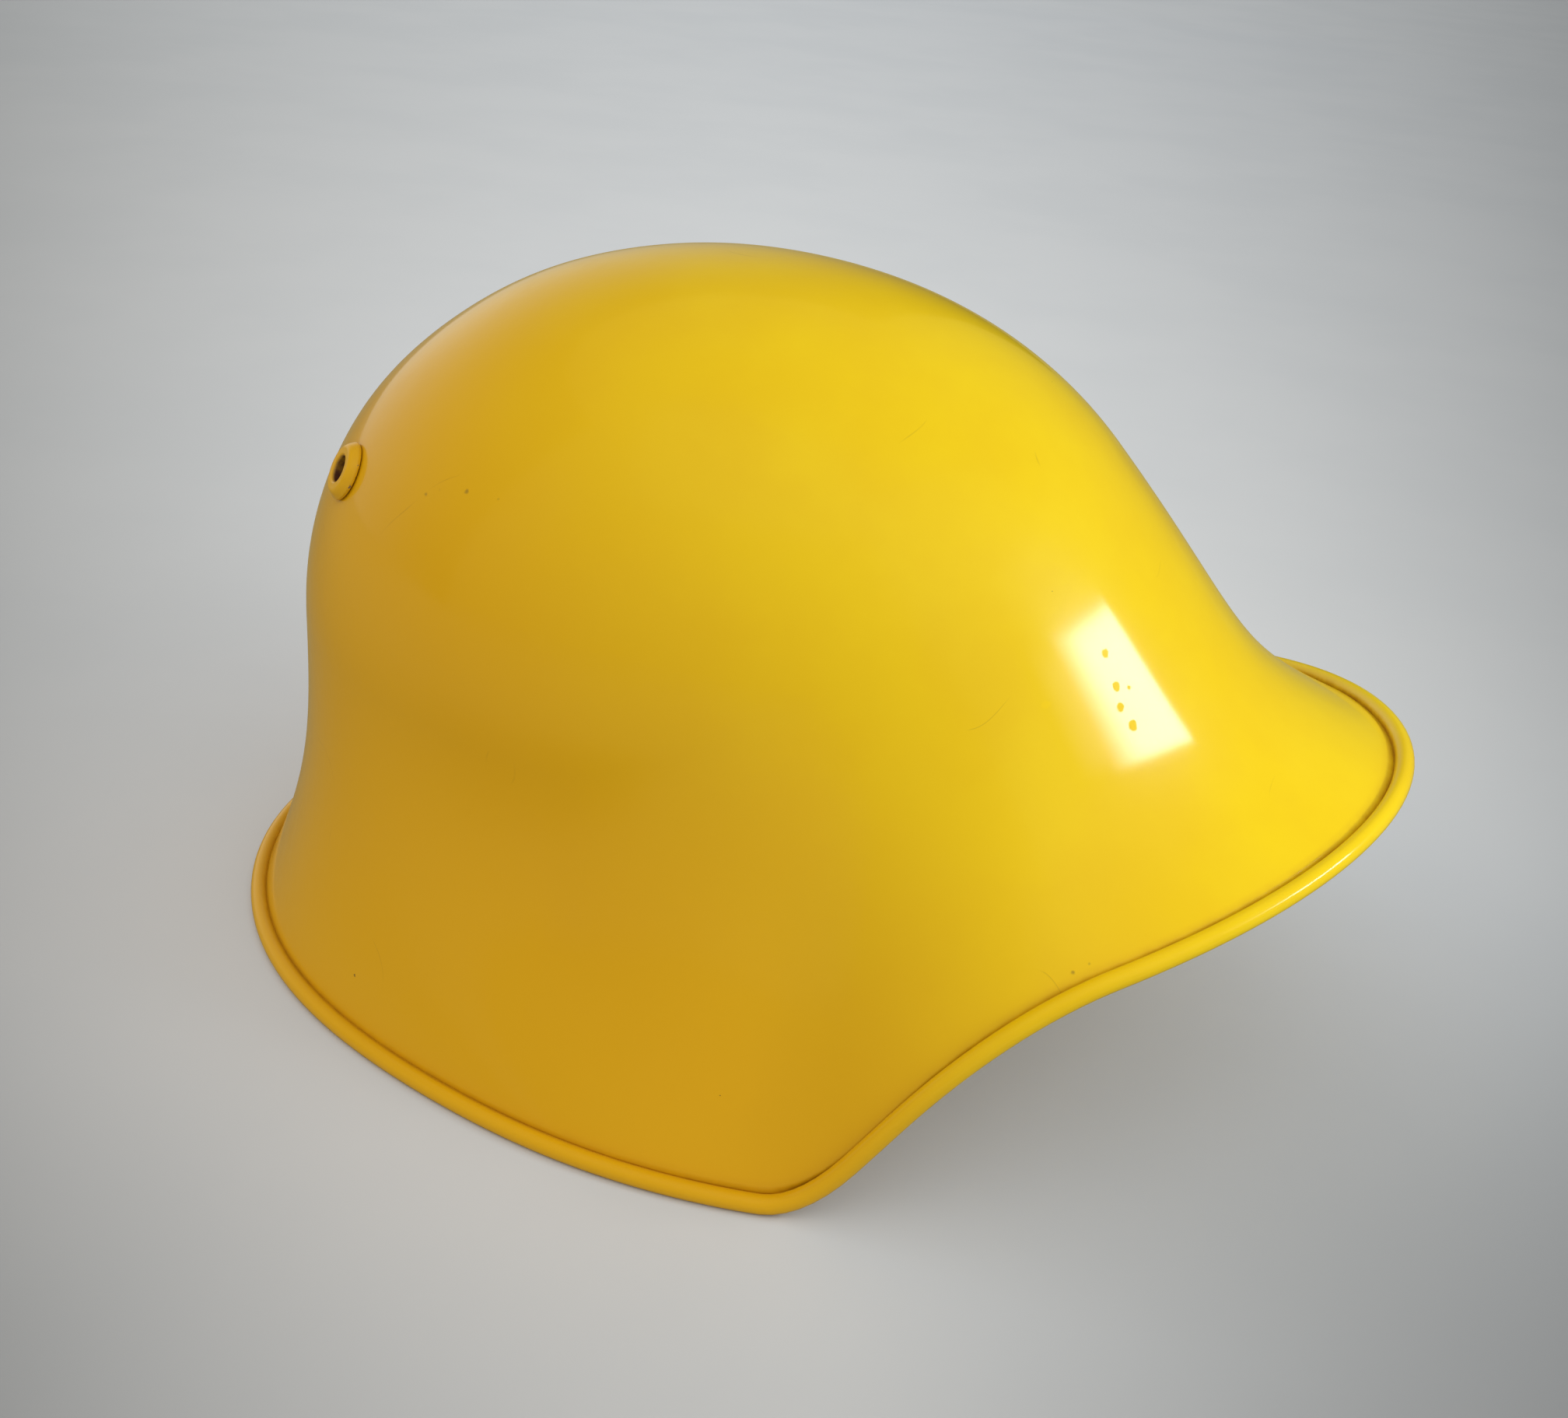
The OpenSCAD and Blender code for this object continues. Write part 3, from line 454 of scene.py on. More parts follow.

# %% [markdown]
# ## Enamel
# The shell wears a thick coat of stoved yellow enamel: glossy, slightly uneven like orange
# peel, with painted shade darkening the crease of the bead, a few dark specks and small chips
# where the edge is knocked. Two lists of places and radii, in millimetres, give the scuffs
# that show through the colour and the dents that only take the gloss off. The gloss comes
# from a clear coat over the paint, so a window reflects sharply, while smears of handling dull the paint.

# %% Enamel material
SCUFFS = [((-83.2, -64.1, 140.1), 0.4), ((-79.1, -64.9, 142.3), 0.2), ((-71.1, -67.5, 144.3), 0.5),
          ((-61.9, -70.4, 145.2), 0.3), ((89.0, -92.8, 68.2), 0.5), ((92.0, -90.6, 69.8), 0.3)]
DENTS = [((80.8, -45.8, 125.4), 1.0), ((84.8, -48.0, 118.6), 0.9), ((86.7, -49.7, 114.6), 1.2),
         ((90.4, -49.9, 110.5), 1.3), ((87.7, -45.7, 117.9), 0.7), ((70.4, -60.8, 116.7), 1.0)]
SPOT_CORE, SPOT_RIM, SPOT_STRAY = 0.5, 1.2, 0.0019


def spots(tree, coords, places):
    """Mask of 1 in each place's radius plus a core, fading to its rim, by distance plus noise."""
    mask = None
    for place, size in places:
        away = add(tree, "VectorMath", {0: coords, 1: [c * MM for c in place]}, operation="DISTANCE")
        away = maths(tree, "MULTIPLY_ADD", noise(tree, coords, 2.2, 2.0), SPOT_STRAY, away.outputs["Value"])
        spot = ramp(tree, away, (size + SPOT_CORE) * MM, (size + SPOT_RIM) * MM, 1.0, 0.0)
        mask = spot if mask is None else maths(tree, "MAXIMUM", mask, spot)
    return mask


enamel, tree, shader, coords = new_material(
    "enamel", Metallic=0.0, IOR=1.5, Coat_Roughness=0.10, Coat_IOR=1.5, Specular_IOR_Level=0.12)
paint = use(tree, enamel_shade_and_drift, Coordinates=coords, Amount=0.22).outputs["Color"]
dirt = use(tree, specks, Coordinates=coords, Spacing=13.0, Size=0.028, Share=0.22).outputs["Mask"]
chips = use(tree, worn, Coordinates=coords, Edge=attribute(tree, "edge"), Size=4.0,
            Amount=0.38).outputs["Mask"]
crease = maths(tree, "MULTIPLY", attribute(tree, "crease"),
               ramp(tree, noise(tree, coords, 5.0, 3.0), 0.30, 0.62, 0.30, 0.85))
lines = use(tree, hairlines, Coordinates=coords).outputs["Mask"]
# painted shade: the crease mask paints the bead's groove a darker amber
colour = blended(tree, crease, paint, (0.60, 0.30, 0.008, 1))
colour = blended(tree, maths(tree, "MULTIPLY", lines, 0.28), colour, (0.34, 0.17, 0.01, 1))
colour = blended(tree, maths(tree, "MULTIPLY", dirt, 0.75), colour, (0.10, 0.05, 0.015, 1))
colour = blended(tree, chips, colour, (0.16, 0.10, 0.07, 1))
scuffed = maths(tree, "MULTIPLY", spots(tree, coords, SCUFFS), 0.6)
colour = blended(tree, scuffed, colour, (0.22, 0.12, 0.02, 1))
smear = ramp(tree, noise(tree, coords, 34.0, 5.0, 0.6), 0.42, 0.75)
rough = maths(tree, "MULTIPLY_ADD", smear, 0.12, 0.33)
rough = maths(tree, "MULTIPLY_ADD", maths(tree, "MAXIMUM", crease, chips), 0.45, rough)
bare = maths(tree, "MAXIMUM", maths(tree, "MAXIMUM", crease, chips), spots(tree, coords, DENTS))
coat = maths(tree, "SUBTRACT", 0.80, bare, clamp=True)
peel = noise(tree, coords, 3.2, 1.0)
dips = maths(tree, "MULTIPLY_ADD", maths(tree, "MAXIMUM", chips, dirt), -1.5, peel)
feed(tree, shader, Base_Color=colour, Roughness=rough, Coat_Weight=coat)
bumped(tree, shader, dips, 0.035)

# %% [markdown]
# ## The shell
# Two curves make the meridian at each angle: a fuller-than-round ellipse for the dome and a
# Bezier curve for the flare, which leaves the dome along its slope and reaches the
# edge at a set dip. Every number that shapes them drifts smoothly from front to side to
# rear. The sheet is that skin and a second one below it, joined round the bead.

# %% Shell: the outer skin
SHELL_H, SHEET_T, DOME_Z, DOME_R = 193.3, 1.2, 86.5, (123.0, 122.0, 90.6)
RIM_R, RIM_WAVE, CURVE = (178.3, 135.5, 118.9), -4.3, 2 / 2.06
DOME_X, REST_Z = -21.0267, 1.67535
LEAVE, DIP = (49.5, 87.1, 90.0), (16.6, 66.7, 65.2)
NEAR_HOLD, FAR_HOLD = (0.564, 0.357, 0.386), (0.444, 0.354, 0.431)
BEAD_R, BEAD_OFF = 2.4, 1.2


def round3(values, a):
    """Smooth value through the front, side and rear ones: a mean, a cosine and a double cosine."""
    front, side, rear = values
    return ((front + rear + 2 * side) / 4 + (front - rear) / 2 * np.cos(a)
            + (front + rear - 2 * side) / 4 * np.cos(2 * a))


def soft(g, k):
    """Nothing below zero, the value above, and a parabola over a half width k between them."""
    return np.where(g < -k, 0, np.where(g > k, g, (g + k) ** 2 / (4 * k)))


def oval(front, rear, side, a):
    """Radius of an ellipse whose long half length drifts from front to rear."""
    long = (front + rear) / 2 + (front - rear) / 2 * np.cos(a)
    return 1 / np.sqrt((np.cos(a) / long) ** 2 + (np.sin(a) / side) ** 2)


def rim(a):
    """Radius and height of the edge: level, then a slope to the cheek, then the visor's own slope."""
    r = oval(*RIM_R, a) + RIM_WAVE * (np.cos(3 * a) - np.cos(a))
    x = r * np.cos(a)
    cheek, visor = 1.49 * (x - 59.6), 89 + 0.386 * (x - RIM_R[0])
    return r, REST_Z + soft(cheek - soft(cheek - visor, 23.1), 15.8)


def skin_rz(a, u):
    """Radius and height at angle a: u from 0 to 1 down the dome, from 1 to 2 down the flare."""
    a, u = np.broadcast_arrays(a, u)
    leave = np.radians(np.minimum(89.9, round3(LEAVE, a)))
    t = leave * np.minimum(u, 1)
    wide = oval(DOME_R[0], DOME_R[1], DOME_R[2], a)
    tall = SHELL_H - DOME_Z
    dome = np.stack([wide * np.sin(t) ** CURVE, DOME_Z + tall * np.cos(t) ** CURVE], -1)
    start = np.stack([wide * np.sin(leave) ** CURVE, DOME_Z + tall * np.cos(leave) ** CURVE], -1)
    end = np.stack(rim(a), -1)
    way = unit(np.stack([wide * np.sin(leave) ** (CURVE - 1) * np.cos(leave),
                         -tall * np.cos(leave) ** (CURVE - 1) * np.sin(leave)], -1))
    dip, run = np.radians(round3(DIP, a)), np.linalg.norm(end - start, axis=-1)
    near = start + (round3(NEAR_HOLD, a) * run)[..., None] * way
    far = end + (round3(FAR_HOLD, a) * run)[..., None] * np.stack([-np.cos(dip), np.sin(dip)], -1)
    w = np.clip(u - 1, 0, 1)[..., None]
    flare = (1 - w) ** 3 * start + 3 * (1 - w) ** 2 * w * near + 3 * (1 - w) * w * w * far + w ** 3 * end
    return np.where(w > 0, flare, dome)


def skin(a, u):
    """Point on the outer skin."""
    r, z = np.moveaxis(skin_rz(a, u), -1, 0)
    return np.stack([DOME_X + r * np.cos(a), r * np.sin(a), z], -1)


def skin_out(a, u):
    """Outward direction: down the meridian crossed with round the helmet."""
    a, u = np.broadcast_arrays(a, u)
    down = skin(a, np.minimum(u + 0.004, 2)) - skin(a, np.maximum(u - 0.004, 0.001))
    return unit(np.cross(down, skin(a + 0.008, u) - skin(a - 0.008, u)))


print("visor tip at", np.round(skin(0.0, 2.0), 2), "nape at", np.round(skin(np.pi, 2.0), 2))

# %% [markdown]
# Pressing leaves the sheet a little wavy, which shows only in its reflections. So the skin
# moves in and out by a tenth of a millimetre in slow waves, fading out near the vents and the
# crown. The edge is rolled outwards, and its sheet ends against the skin in a crease,
# which is a real groove here. Where the rim rests, the bead is worn flat.

# %% Shell: waves, bead and mesh
VENT_AT = np.array([-115.465, 43.038, 133.0])
VENT_OUT = np.array([-0.696964, 0.574985, 0.428524])
MIRROR = np.array([1, -1, 1])
WAVES = np.array([[0.051, 0.034, 0.060, 0.4], [-0.043, 0.071, 0.028, 2.1], [0.066, -0.039, 0.047, 4.0],
                  [0.022, 0.083, -0.054, 5.2], [0.094, 0.031, 0.081, 1.3]])


def pressed_waves(p):
    """Sum of five slow sine waves across the point's place, nothing near a vent."""
    swell = np.sin(p @ WAVES[:, :3].T + WAVES[:, 3]).sum(-1)
    clear = np.minimum(np.linalg.norm(p - VENT_AT, axis=-1),
                       np.linalg.norm(p - VENT_AT * MIRROR, axis=-1))
    return 0.055 * swell * np.clip((clear - 12) / 18, 0, 1)


COLS, DOME_ROWS, FLARE_ROWS, INNER_ROWS = 300, 78, 78, 96
turn = np.linspace(0, 2 * np.pi, COLS, endpoint=False)
edge = skin(turn, 2.0)
edge_out = skin_out(turn, 2.0)
edge_down = unit(np.cross(unit(skin(turn + 0.008, 2.0) - skin(turn - 0.008, 2.0)), edge_out))
flare_run = np.linalg.norm(skin_rz(turn, 2.0) - skin_rz(turn, 1.0), axis=-1)
crease_u = 2 - 2.45 / (3 * round3(FAR_HOLD, turn) * flare_run)

dome_u = np.linspace(0, 1, DOME_ROWS + 1)[1:, None] * np.ones(COLS)
flare_u = 1 + np.linspace(0, 1, FLARE_ROWS + 1)[1:, None] * (crease_u - 1)
outer_u = np.concatenate([dome_u, flare_u])
outer = skin(turn, outer_u)
outer = outer + pressed_waves(outer)[..., None] * skin_out(turn, outer_u)


def beside_edge(out, down):
    """Points that far out from the edge's skin, and that far down past it."""
    return (edge + pressed_waves(edge)[:, None] * edge_out
            + np.asarray(out)[:, None, None] * edge_out + np.asarray(down)[:, None, None] * edge_down)


groove = beside_edge([-0.05, -0.28, -0.30, -0.12], [-2.36, -2.24, -2.10, -2.00])
round_v = np.radians(np.linspace(-119, 180, 27))
bead = beside_edge(BEAD_OFF + BEAD_R * np.cos(round_v), BEAD_R * np.sin(round_v))
inner_u = np.concatenate([np.linspace(2, 1, INNER_ROWS // 2 + 1)[1:],
                          np.linspace(1, 0, INNER_ROWS // 2 + 1)[1:-1]])[:, None] * np.ones(COLS)
inner = skin(turn, inner_u)
inner = inner + (pressed_waves(inner) - SHEET_T)[..., None] * skin_out(turn, inner_u)
rings = np.concatenate([outer, groove, bead, inner])
rings[..., 2] = np.maximum(rings[..., 2], 0)
print("lowest point", rings[..., 2].min(), "rows", len(rings))

# %% Shell: piece
crown = np.array([[DOME_X, 0, SHELL_H], [DOME_X, 0, SHELL_H - SHEET_T]])
crown[:, 2] += pressed_waves(crown[:1])
rows = len(rings)
j = np.arange(COLS)
poles = np.concatenate([
    np.stack([np.full(COLS, rows * COLS), j, (j + 1) % COLS], 1),
    np.stack([np.full(COLS, rows * COLS + 1), (rows - 1) * COLS + (j + 1) % COLS,
              (rows - 1) * COLS + j], 1)])
shell = piece_from("shell_sheet", closed(np.concatenate([rings.reshape(-1, 3), crown]),
                                         grid_quads(rows, COLS), poles))
row_edge = np.concatenate([np.zeros(len(outer)), np.full(4, 0.3),
                           np.clip(1.25 * np.cos(round_v / 2 - 0.35), 0, 1) ** 2, np.zeros(len(inner))])
row_crease = np.concatenate([np.zeros(len(outer) - 2), [0.25, 0.8], np.ones(4), [1, 0.9, 0.6, 0.3, 0.1],
                             np.zeros(len(bead) - 5 + len(inner))])
paint_mask(shell, "edge", np.append(np.repeat(row_edge, COLS), [0, 0]))
paint_mask(shell, "crease", np.append(np.repeat(row_crease, COLS), [0, 0]))
VENT_HOLE_R = 4.65
drill(shell, *[rod(VENT_HOLE_R, (VENT_AT - 10 * VENT_OUT) * m, (VENT_AT + 10 * VENT_OUT) * m, 48)
               for m in (np.ones(3), MIRROR)])
settle(shell, "helmet", "enamel", enamel, "shell")

# %% [markdown]
# ## Rounded profiles, softened copies and stitches
# No real edge is perfectly sharp, and the thin bright line along it tells the eye its size.
# A profile's corners give way to small curves before it is carried round. Small fittings
# are a merged copy of the construction piece with a narrow bevel on its sharp edges.

# %% Edges and stitches
def eased(profile, radius, arc=4):
    """Closed outline whose corners give way to small curves, held close by a point on each side."""
    corner = np.asarray(profile, float)
    to_last, to_next = np.roll(corner, 1, 0) - corner, np.roll(corner, -1, 0) - corner
    near = np.minimum(np.linalg.norm(to_last, axis=1), np.linalg.norm(to_next, axis=1))[:, None]
    cut, hold = np.minimum(radius, 0.33 * near), np.minimum(1.6 * radius, 0.45 * near)
    first, last = corner + cut * unit(to_last), corner + cut * unit(to_next)
    w = np.linspace(0, 1, arc + 1)[None, :, None]
    curve = (1 - w) ** 2 * first[:, None] + 2 * w * (1 - w) * corner[:, None] + w * w * last[:, None]
    return np.concatenate([(corner + hold * unit(to_last))[:, None], curve,
                           (corner + hold * unit(to_next))[:, None]], 1).reshape(-1, 2)


def oblong(x0, x1, y0, y1):
    """Corners of a rectangle, in order round it."""
    return [[x0, y0], [x1, y0], [x1, y1], [x0, y1]]


def creased(piece, degrees=38):
    """Smooth shading, broken where faces meet at more than an angle."""
    piece.data.polygons.foreach_set("use_smooth", np.ones(len(piece.data.polygons), bool))
    piece.data.set_sharp_from_angle(angle=math.radians(degrees))
    return piece


def softened(node, width):
    """Merged copy of a construction node with a narrow bevel along its sharp edges."""
    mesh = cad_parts[node].data.copy()
    piece = bpy.data.objects.new("fine_" + node, mesh)
    bpy.context.scene.collection.objects.link(piece)
    work = bmesh.new()
    work.from_mesh(mesh)
    bmesh.ops.remove_doubles(work, verts=work.verts, dist=0.002 * MM)
    bmesh.ops.dissolve_limit(work, angle_limit=math.radians(1.5), verts=work.verts, edges=work.edges)
    work.to_mesh(mesh)
    work.free()
    bevel = piece.modifiers.new("rounding", "BEVEL")
    bevel.width, bevel.segments = width * MM, 2
    bevel.limit_method, bevel.angle_limit = "ANGLE", math.radians(32)
    keep_result(piece)
    print(f"{piece.name}: {len(piece.data.polygons)} faces")
    return creased(piece)


def stitches(start, end, out, radius):
    """A row of short threads, each a capsule from its start to its end with a low arch."""
    share, girth = np.array([0, 0.14, 0.5, 0.86, 1]), np.array([0.35, 0.85, 1, 0.85, 0.35])
    sides, count = 6, len(start)
    way = unit(end - start)
    across = unit(np.cross(out, way))
    rise = np.cross(way, across)
    v = np.linspace(0, 2 * np.pi, sides, endpoint=False)
    spine = (start[:, None] + share[:, None] * (end - start)[:, None]
             + (0.7 * radius * np.sin(np.pi * share))[:, None] * out[:, None])
    spokes = np.cos(v)[:, None] * across[:, None] + np.sin(v)[:, None] * rise[:, None]
    points = spine[:, :, None] + radius * girth[:, None, None] * spokes[:, None]
    first = (np.arange(count) * len(share) * sides)[:, None, None]
    quads = (grid_quads(len(share), sides)[None] + first).reshape(-1, 4)
    fan = np.array([[0, k, k + 1] for k in range(1, sides - 1)])
    tris = np.concatenate([fan[:, ::-1], fan + (len(share) - 1) * sides])
    return closed(points.reshape(-1, 3), quads, (tris[None] + first).reshape(-1, 3))


def seam(path, out, pitch, length, radius):
    """Stitches of one length set every pitch along a path."""
    step = np.concatenate([[0], np.cumsum(np.linalg.norm(np.diff(path, axis=0), axis=1))])
    at = np.arange(0.3 * pitch, step[-1] - length, pitch)
    place = lambda s: np.stack([np.interp(s, step, path[:, k]) for k in range(3)], 1)
    up = unit(np.stack([np.interp(at + length / 2, step, out[:, k]) for k in range(3)], 1))
    return stitches(place(at), place(at + length), up, radius)


# %% [markdown]
# ## Metal finishes
# The vents' bushings are enamelled with the shell. Inside, the band is rolled spring steel
# with fine lines along it, rivets are satin steel, and the wire rings are nickel plate gone
# dull. Every metal has scratches, a drift of roughness and patches of grime.

# %% Group: rubbed metal
rubbed, source, result = new_group("rubbed metal", [
    ("Coordinates", "Vector"), ("Lines", "Vector", (60.0, 60.0, 60.0)),
    ("Color", "Color", (0.6, 0.6, 0.6, 1)), ("Grime", "Color", (0.12, 0.09, 0.06, 1)),
    ("Dirty", "Float", 0.4), ("Roughness", "Float", 0.3)],
    [("Color", "Color"), ("Roughness", "Float"), ("Height", "Float")])
stretched = add(rubbed, "VectorMath", {0: source["Coordinates"], 1: source["Lines"]},
                operation="MULTIPLY").outputs[0]
lines = clouds(rubbed, stretched, 1.0, 3.0, 0.6)
cloud = clouds(rubbed, source["Coordinates"], 130.0, 5.0, 0.62)
marks = add(rubbed, "TexNoise", {"Vector": source["Coordinates"], "Scale": 900.0, "Detail": 2.0,
                                 "Distortion": 1.5}).outputs["Fac"]
grimy = maths(rubbed, "MULTIPLY", ramp(rubbed, cloud, 0.44, 0.70), source["Dirty"])
rubbed.links.new(blended(rubbed, grimy, source["Color"], source["Grime"]), result["Color"])
dulled = maths(rubbed, "MULTIPLY_ADD", ramp(rubbed, lines, 0.3, 0.7), 0.14, source["Roughness"])
rubbed.links.new(maths(rubbed, "MULTIPLY_ADD", grimy, 0.35, dulled), result["Roughness"])
scratched = maths(rubbed, "MULTIPLY_ADD", ramp(rubbed, marks, 0.62, 0.70), -0.6, lines)
rubbed.links.new(scratched, result["Height"])

# %% Metal materials
def metal(name, colour, grime, dirty, roughness, lines, depth):
    """Bare or plated metal whose fine lines run where the scale of its coordinates is small."""
    material, tree, shader, coords = new_material(name, Metallic=1.0)
    look = use(tree, rubbed, Coordinates=coords, Lines=lines, Color=colour, Grime=grime, Dirty=dirty,
               Roughness=roughness)
    feed(tree, shader, Base_Color=look.outputs["Color"], Roughness=look.outputs["Roughness"])
    bumped(tree, shader, look.outputs["Height"], depth)
    return material


band_steel = metal("band steel", (0.42, 0.43, 0.44, 1), (0.10, 0.06, 0.035, 1), 0.55, 0.28,
                   (50.0, 50.0, 2600.0), 0.02)
rivet_steel = metal("rivet steel", (0.62, 0.61, 0.58, 1), (0.14, 0.10, 0.06, 1), 0.45, 0.24,
                    (700.0, 700.0, 700.0), 0.012)
plated_wire = metal("plated wire", (0.70, 0.67, 0.60, 1), (0.20, 0.13, 0.06, 1), 0.60, 0.20,
                    (300.0, 900.0, 900.0), 0.015)

# %% [markdown]
# ## Leathers, cloth and thread
# The liner is undyed leather darkened by handling, with a fine pebbled grain and pale cut
# edges. The chin strap is darker oiled leather with a pressed line beside each edge. The
# cushions are coarse linen, drawn by two crossing sets of threads on the piece's own lengths.
# The edge mask is 1 at a cut edge and falls inwards, so a value of it marks a line beside it.

# %% Leather materials
LINE_AT = 0.80


def leather(name, light, dark, cut_edge, size, depth, roughness):
    """Leather with grain, handled patches, its cut edge from a mask, and a pressed line beside it."""
    material, tree, shader, coords = new_material(name, Metallic=0.0, IOR=1.45)
    look = use(tree, grain, Coordinates=coords, Size=size, Color=light, Dark=dark)
    rim_mask = attribute(tree, "edge")
    cut = ramp(tree, rim_mask, 0.90, 0.97)
    colour = blended(tree, cut, look.outputs["Color"], cut_edge)
    shine = noise(tree, coords, 22.0, 4.0, 0.6)
    rough = maths(tree, "MULTIPLY_ADD", ramp(tree, shine, 0.35, 0.7), 0.22, roughness)
    away = maths(tree, "ABSOLUTE", maths(tree, "SUBTRACT", rim_mask, LINE_AT))
    line = ramp(tree, away, 0.012, 0.035, 1.0, 0.0)
    colour = blended(tree, maths(tree, "MULTIPLY", line, 0.55), colour, dark)
    feed(tree, shader, Base_Color=colour, Roughness=rough)
    bumped(tree, shader, maths(tree, "MULTIPLY_ADD", line, -3.0, look.outputs["Height"]), depth)
    return material


liner_leather = leather("liner leather", (0.47, 0.27, 0.125, 1), (0.27, 0.135, 0.055, 1),
                        (0.55, 0.37, 0.20, 1), 1.1, 0.10, 0.42)
strap_leather = leather("strap leather", (0.255, 0.125, 0.05, 1), (0.105, 0.047, 0.02, 1),
                        (0.085, 0.04, 0.018, 1), 0.9, 0.09, 0.34)

# %% Group: woven threads
woven, source, result = new_group("woven threads", [
    ("Across", "Float", 0.0), ("Along", "Float", 0.0), ("Pitch", "Float", 0.9),
    ("Coordinates", "Vector"), ("Color", "Color", (0.5, 0.48, 0.42, 1)),
    ("Dark", "Color", (0.3, 0.28, 0.24, 1))], [("Height", "Float"), ("Color", "Color")])
wander = clouds(woven, source["Coordinates"], 260.0, 2.0)
waves = []
for label in ("Across", "Along"):
    moved = maths(woven, "MULTIPLY_ADD", wander, 0.5, source[label])
    turns = maths(woven, "DIVIDE", maths(woven, "MULTIPLY", moved, math.pi), source["Pitch"])
    waves.append(maths(woven, "SINE", turns))
warp, weft = [maths(woven, "ABSOLUTE", wave) for wave in waves]
warp_up = ramp(woven, maths(woven, "MULTIPLY", *waves), -0.25, 0.25)
height = maths(woven, "MULTIPLY_ADD", maths(woven, "SUBTRACT", warp, weft), warp_up, weft)
woven.links.new(height, result["Height"])
slub = clouds(woven, source["Coordinates"], 420.0, 3.0)
lit_share = maths(woven, "MULTIPLY", ramp(woven, height, 0.1, 0.9),
                  maths(woven, "MULTIPLY_ADD", slub, 0.9, 0.4))
woven.links.new(blended(woven, lit_share, source["Dark"], source["Color"]), result["Color"])

# %% Cloth and thread materials
cushion_cloth, tree, shader, coords = new_material("cushion cloth", Roughness=0.88, Sheen_Weight=0.25,
                                                   Sheen_Roughness=0.5)
threads = use(tree, woven, Across=attribute(tree, "across"), Along=attribute(tree, "along"), Pitch=0.9,
              Coordinates=coords, Color=(0.52, 0.48, 0.39, 1), Dark=(0.27, 0.235, 0.17, 1))
stained = use(tree, drift, Coordinates=coords, Color=threads.outputs["Color"], Other=(0.33, 0.27, 0.17, 1),
              Size=26.0, Amount=0.45)
feed(tree, shader, Base_Color=stained.outputs["Color"])
bumped(tree, shader, threads.outputs["Height"], 0.22)

thread, tree, shader, coords = new_material("waxed thread", Roughness=0.7)
twist = add(tree, "TexWave", {"Vector": coords, "Scale": 1500.0, "Distortion": 2.0},
            bands_direction="DIAGONAL").outputs["Fac"]
cotton = use(tree, drift, Coordinates=coords, Color=(0.60, 0.53, 0.38, 1), Other=(0.38, 0.29, 0.17, 1),
             Size=9.0, Amount=0.6)
shade = blended(tree, maths(tree, "MULTIPLY", twist, 0.25), cotton.outputs["Color"], (0.30, 0.22, 0.13, 1))
feed(tree, shader, Base_Color=shade)
bumped(tree, shader, twist, 0.06)
print("finishes:", [m.name for m in bpy.data.materials if m.users])

# %% [markdown]
# ## Vent bushings
# Each vent is a pressed eyelet: a flange lying on the shell, a flat crest, a rounded lip
# into the bore, and a tube that passes through shell and washer and is rolled over inside.
# One profile turned round the vent's axis gives all of it, left and right from one list.

# %% Bushings and washers
swell = np.radians(np.linspace(0, 90, 9))
lip = np.radians(np.linspace(90, 180, 9)[1:])
FLANGE_R, CREST_R, VENT_STEPS = 7.75, 5.6, 96
BUSHING = np.concatenate([
    [[3.45, -3.8], [5.65, -3.8], [5.65, -3.1], [4.55, -3.1], [4.55, 0.05], [FLANGE_R, 0.05]],
    np.stack([FLANGE_R - (FLANGE_R - CREST_R) * swell / swell[-1], 0.75 + 2 * np.sin(swell)], 1),
    np.stack([3.45 + 0.9 * (1 + np.cos(lip)), 2.75 - 0.9 * (1 - np.sin(lip))], 1)])
vent_enamel, tree, shader, coords = new_material("vent enamel", Metallic=0.0, IOR=1.5)
# painted shade: the bore and the inside of the lip are painted nearly black
bore_shade = maths(tree, "MULTIPLY", attribute(tree, "bore"),
                  ramp(tree, noise(tree, coords, 2.5, 3.0), 0.3, 0.6, 0.6, 1.0))
# the vents share the enamel's painted shade from front to rear
vent_tone = use(tree, enamel_shade_and_drift, Coordinates=coords, Amount=0.6)
vent_chips = use(tree, worn, Coordinates=coords, Edge=attribute(tree, "edge"), Size=2.2,
                 Amount=0.6).outputs["Mask"]
vent_colour = blended(tree, bore_shade, vent_tone.outputs["Color"], (0.09, 0.022, 0.008, 1))
vent_colour = blended(tree, vent_chips, vent_colour, (0.16, 0.10, 0.07, 1))
vent_rough = maths(tree, "MULTIPLY_ADD", maths(tree, "MAXIMUM", bore_shade, vent_chips), 0.4, 0.22)
feed(tree, shader, Base_Color=vent_colour, Roughness=vent_rough)
bumped(tree, shader, noise(tree, coords, 2.0, 2.0), 0.03)

for side, way in (("left", np.ones(3)), ("right", MIRROR)):
    outline = eased(BUSHING, 0.22, 3)
    bushing = piece_from("eyelet_" + side, lathe(outline, VENT_AT * way, VENT_OUT * way, VENT_STEPS))
    radius, height = outline.T
    in_bore = np.clip((4.35 - radius) / 0.7, 0, 1) * np.clip((2.75 - height) / 0.8, 0, 1)
    at_lip = np.exp(-((radius - 4.4) / 0.5) ** 2) * (height > 2)
    at_edge = np.clip((radius - FLANGE_R + 0.7) / 0.6, 0, 1) + at_lip
    paint_mask(bushing, "bore", np.repeat(in_bore, VENT_STEPS))
    paint_mask(bushing, "edge", np.repeat(np.clip(at_edge, 0, 1), VENT_STEPS))
    settle(bushing, "helmet", "enamel", vent_enamel, "vent_bushing_" + side)
settle(softened("vent_washers", 0.12), "helmet", "rivet_steel", rivet_steel, "vent_washers")

# %% [markdown]
# ## The liner's band, lugs and rivets
# The liner hangs on a steel hoop, riveted to three lugs which are spot-welded inside the
# dome. The hoop is one profile carried round an oval, and its rivet holes are drilled last.
# Lugs and rivets keep the construction piece's shape, with their edges rounded.

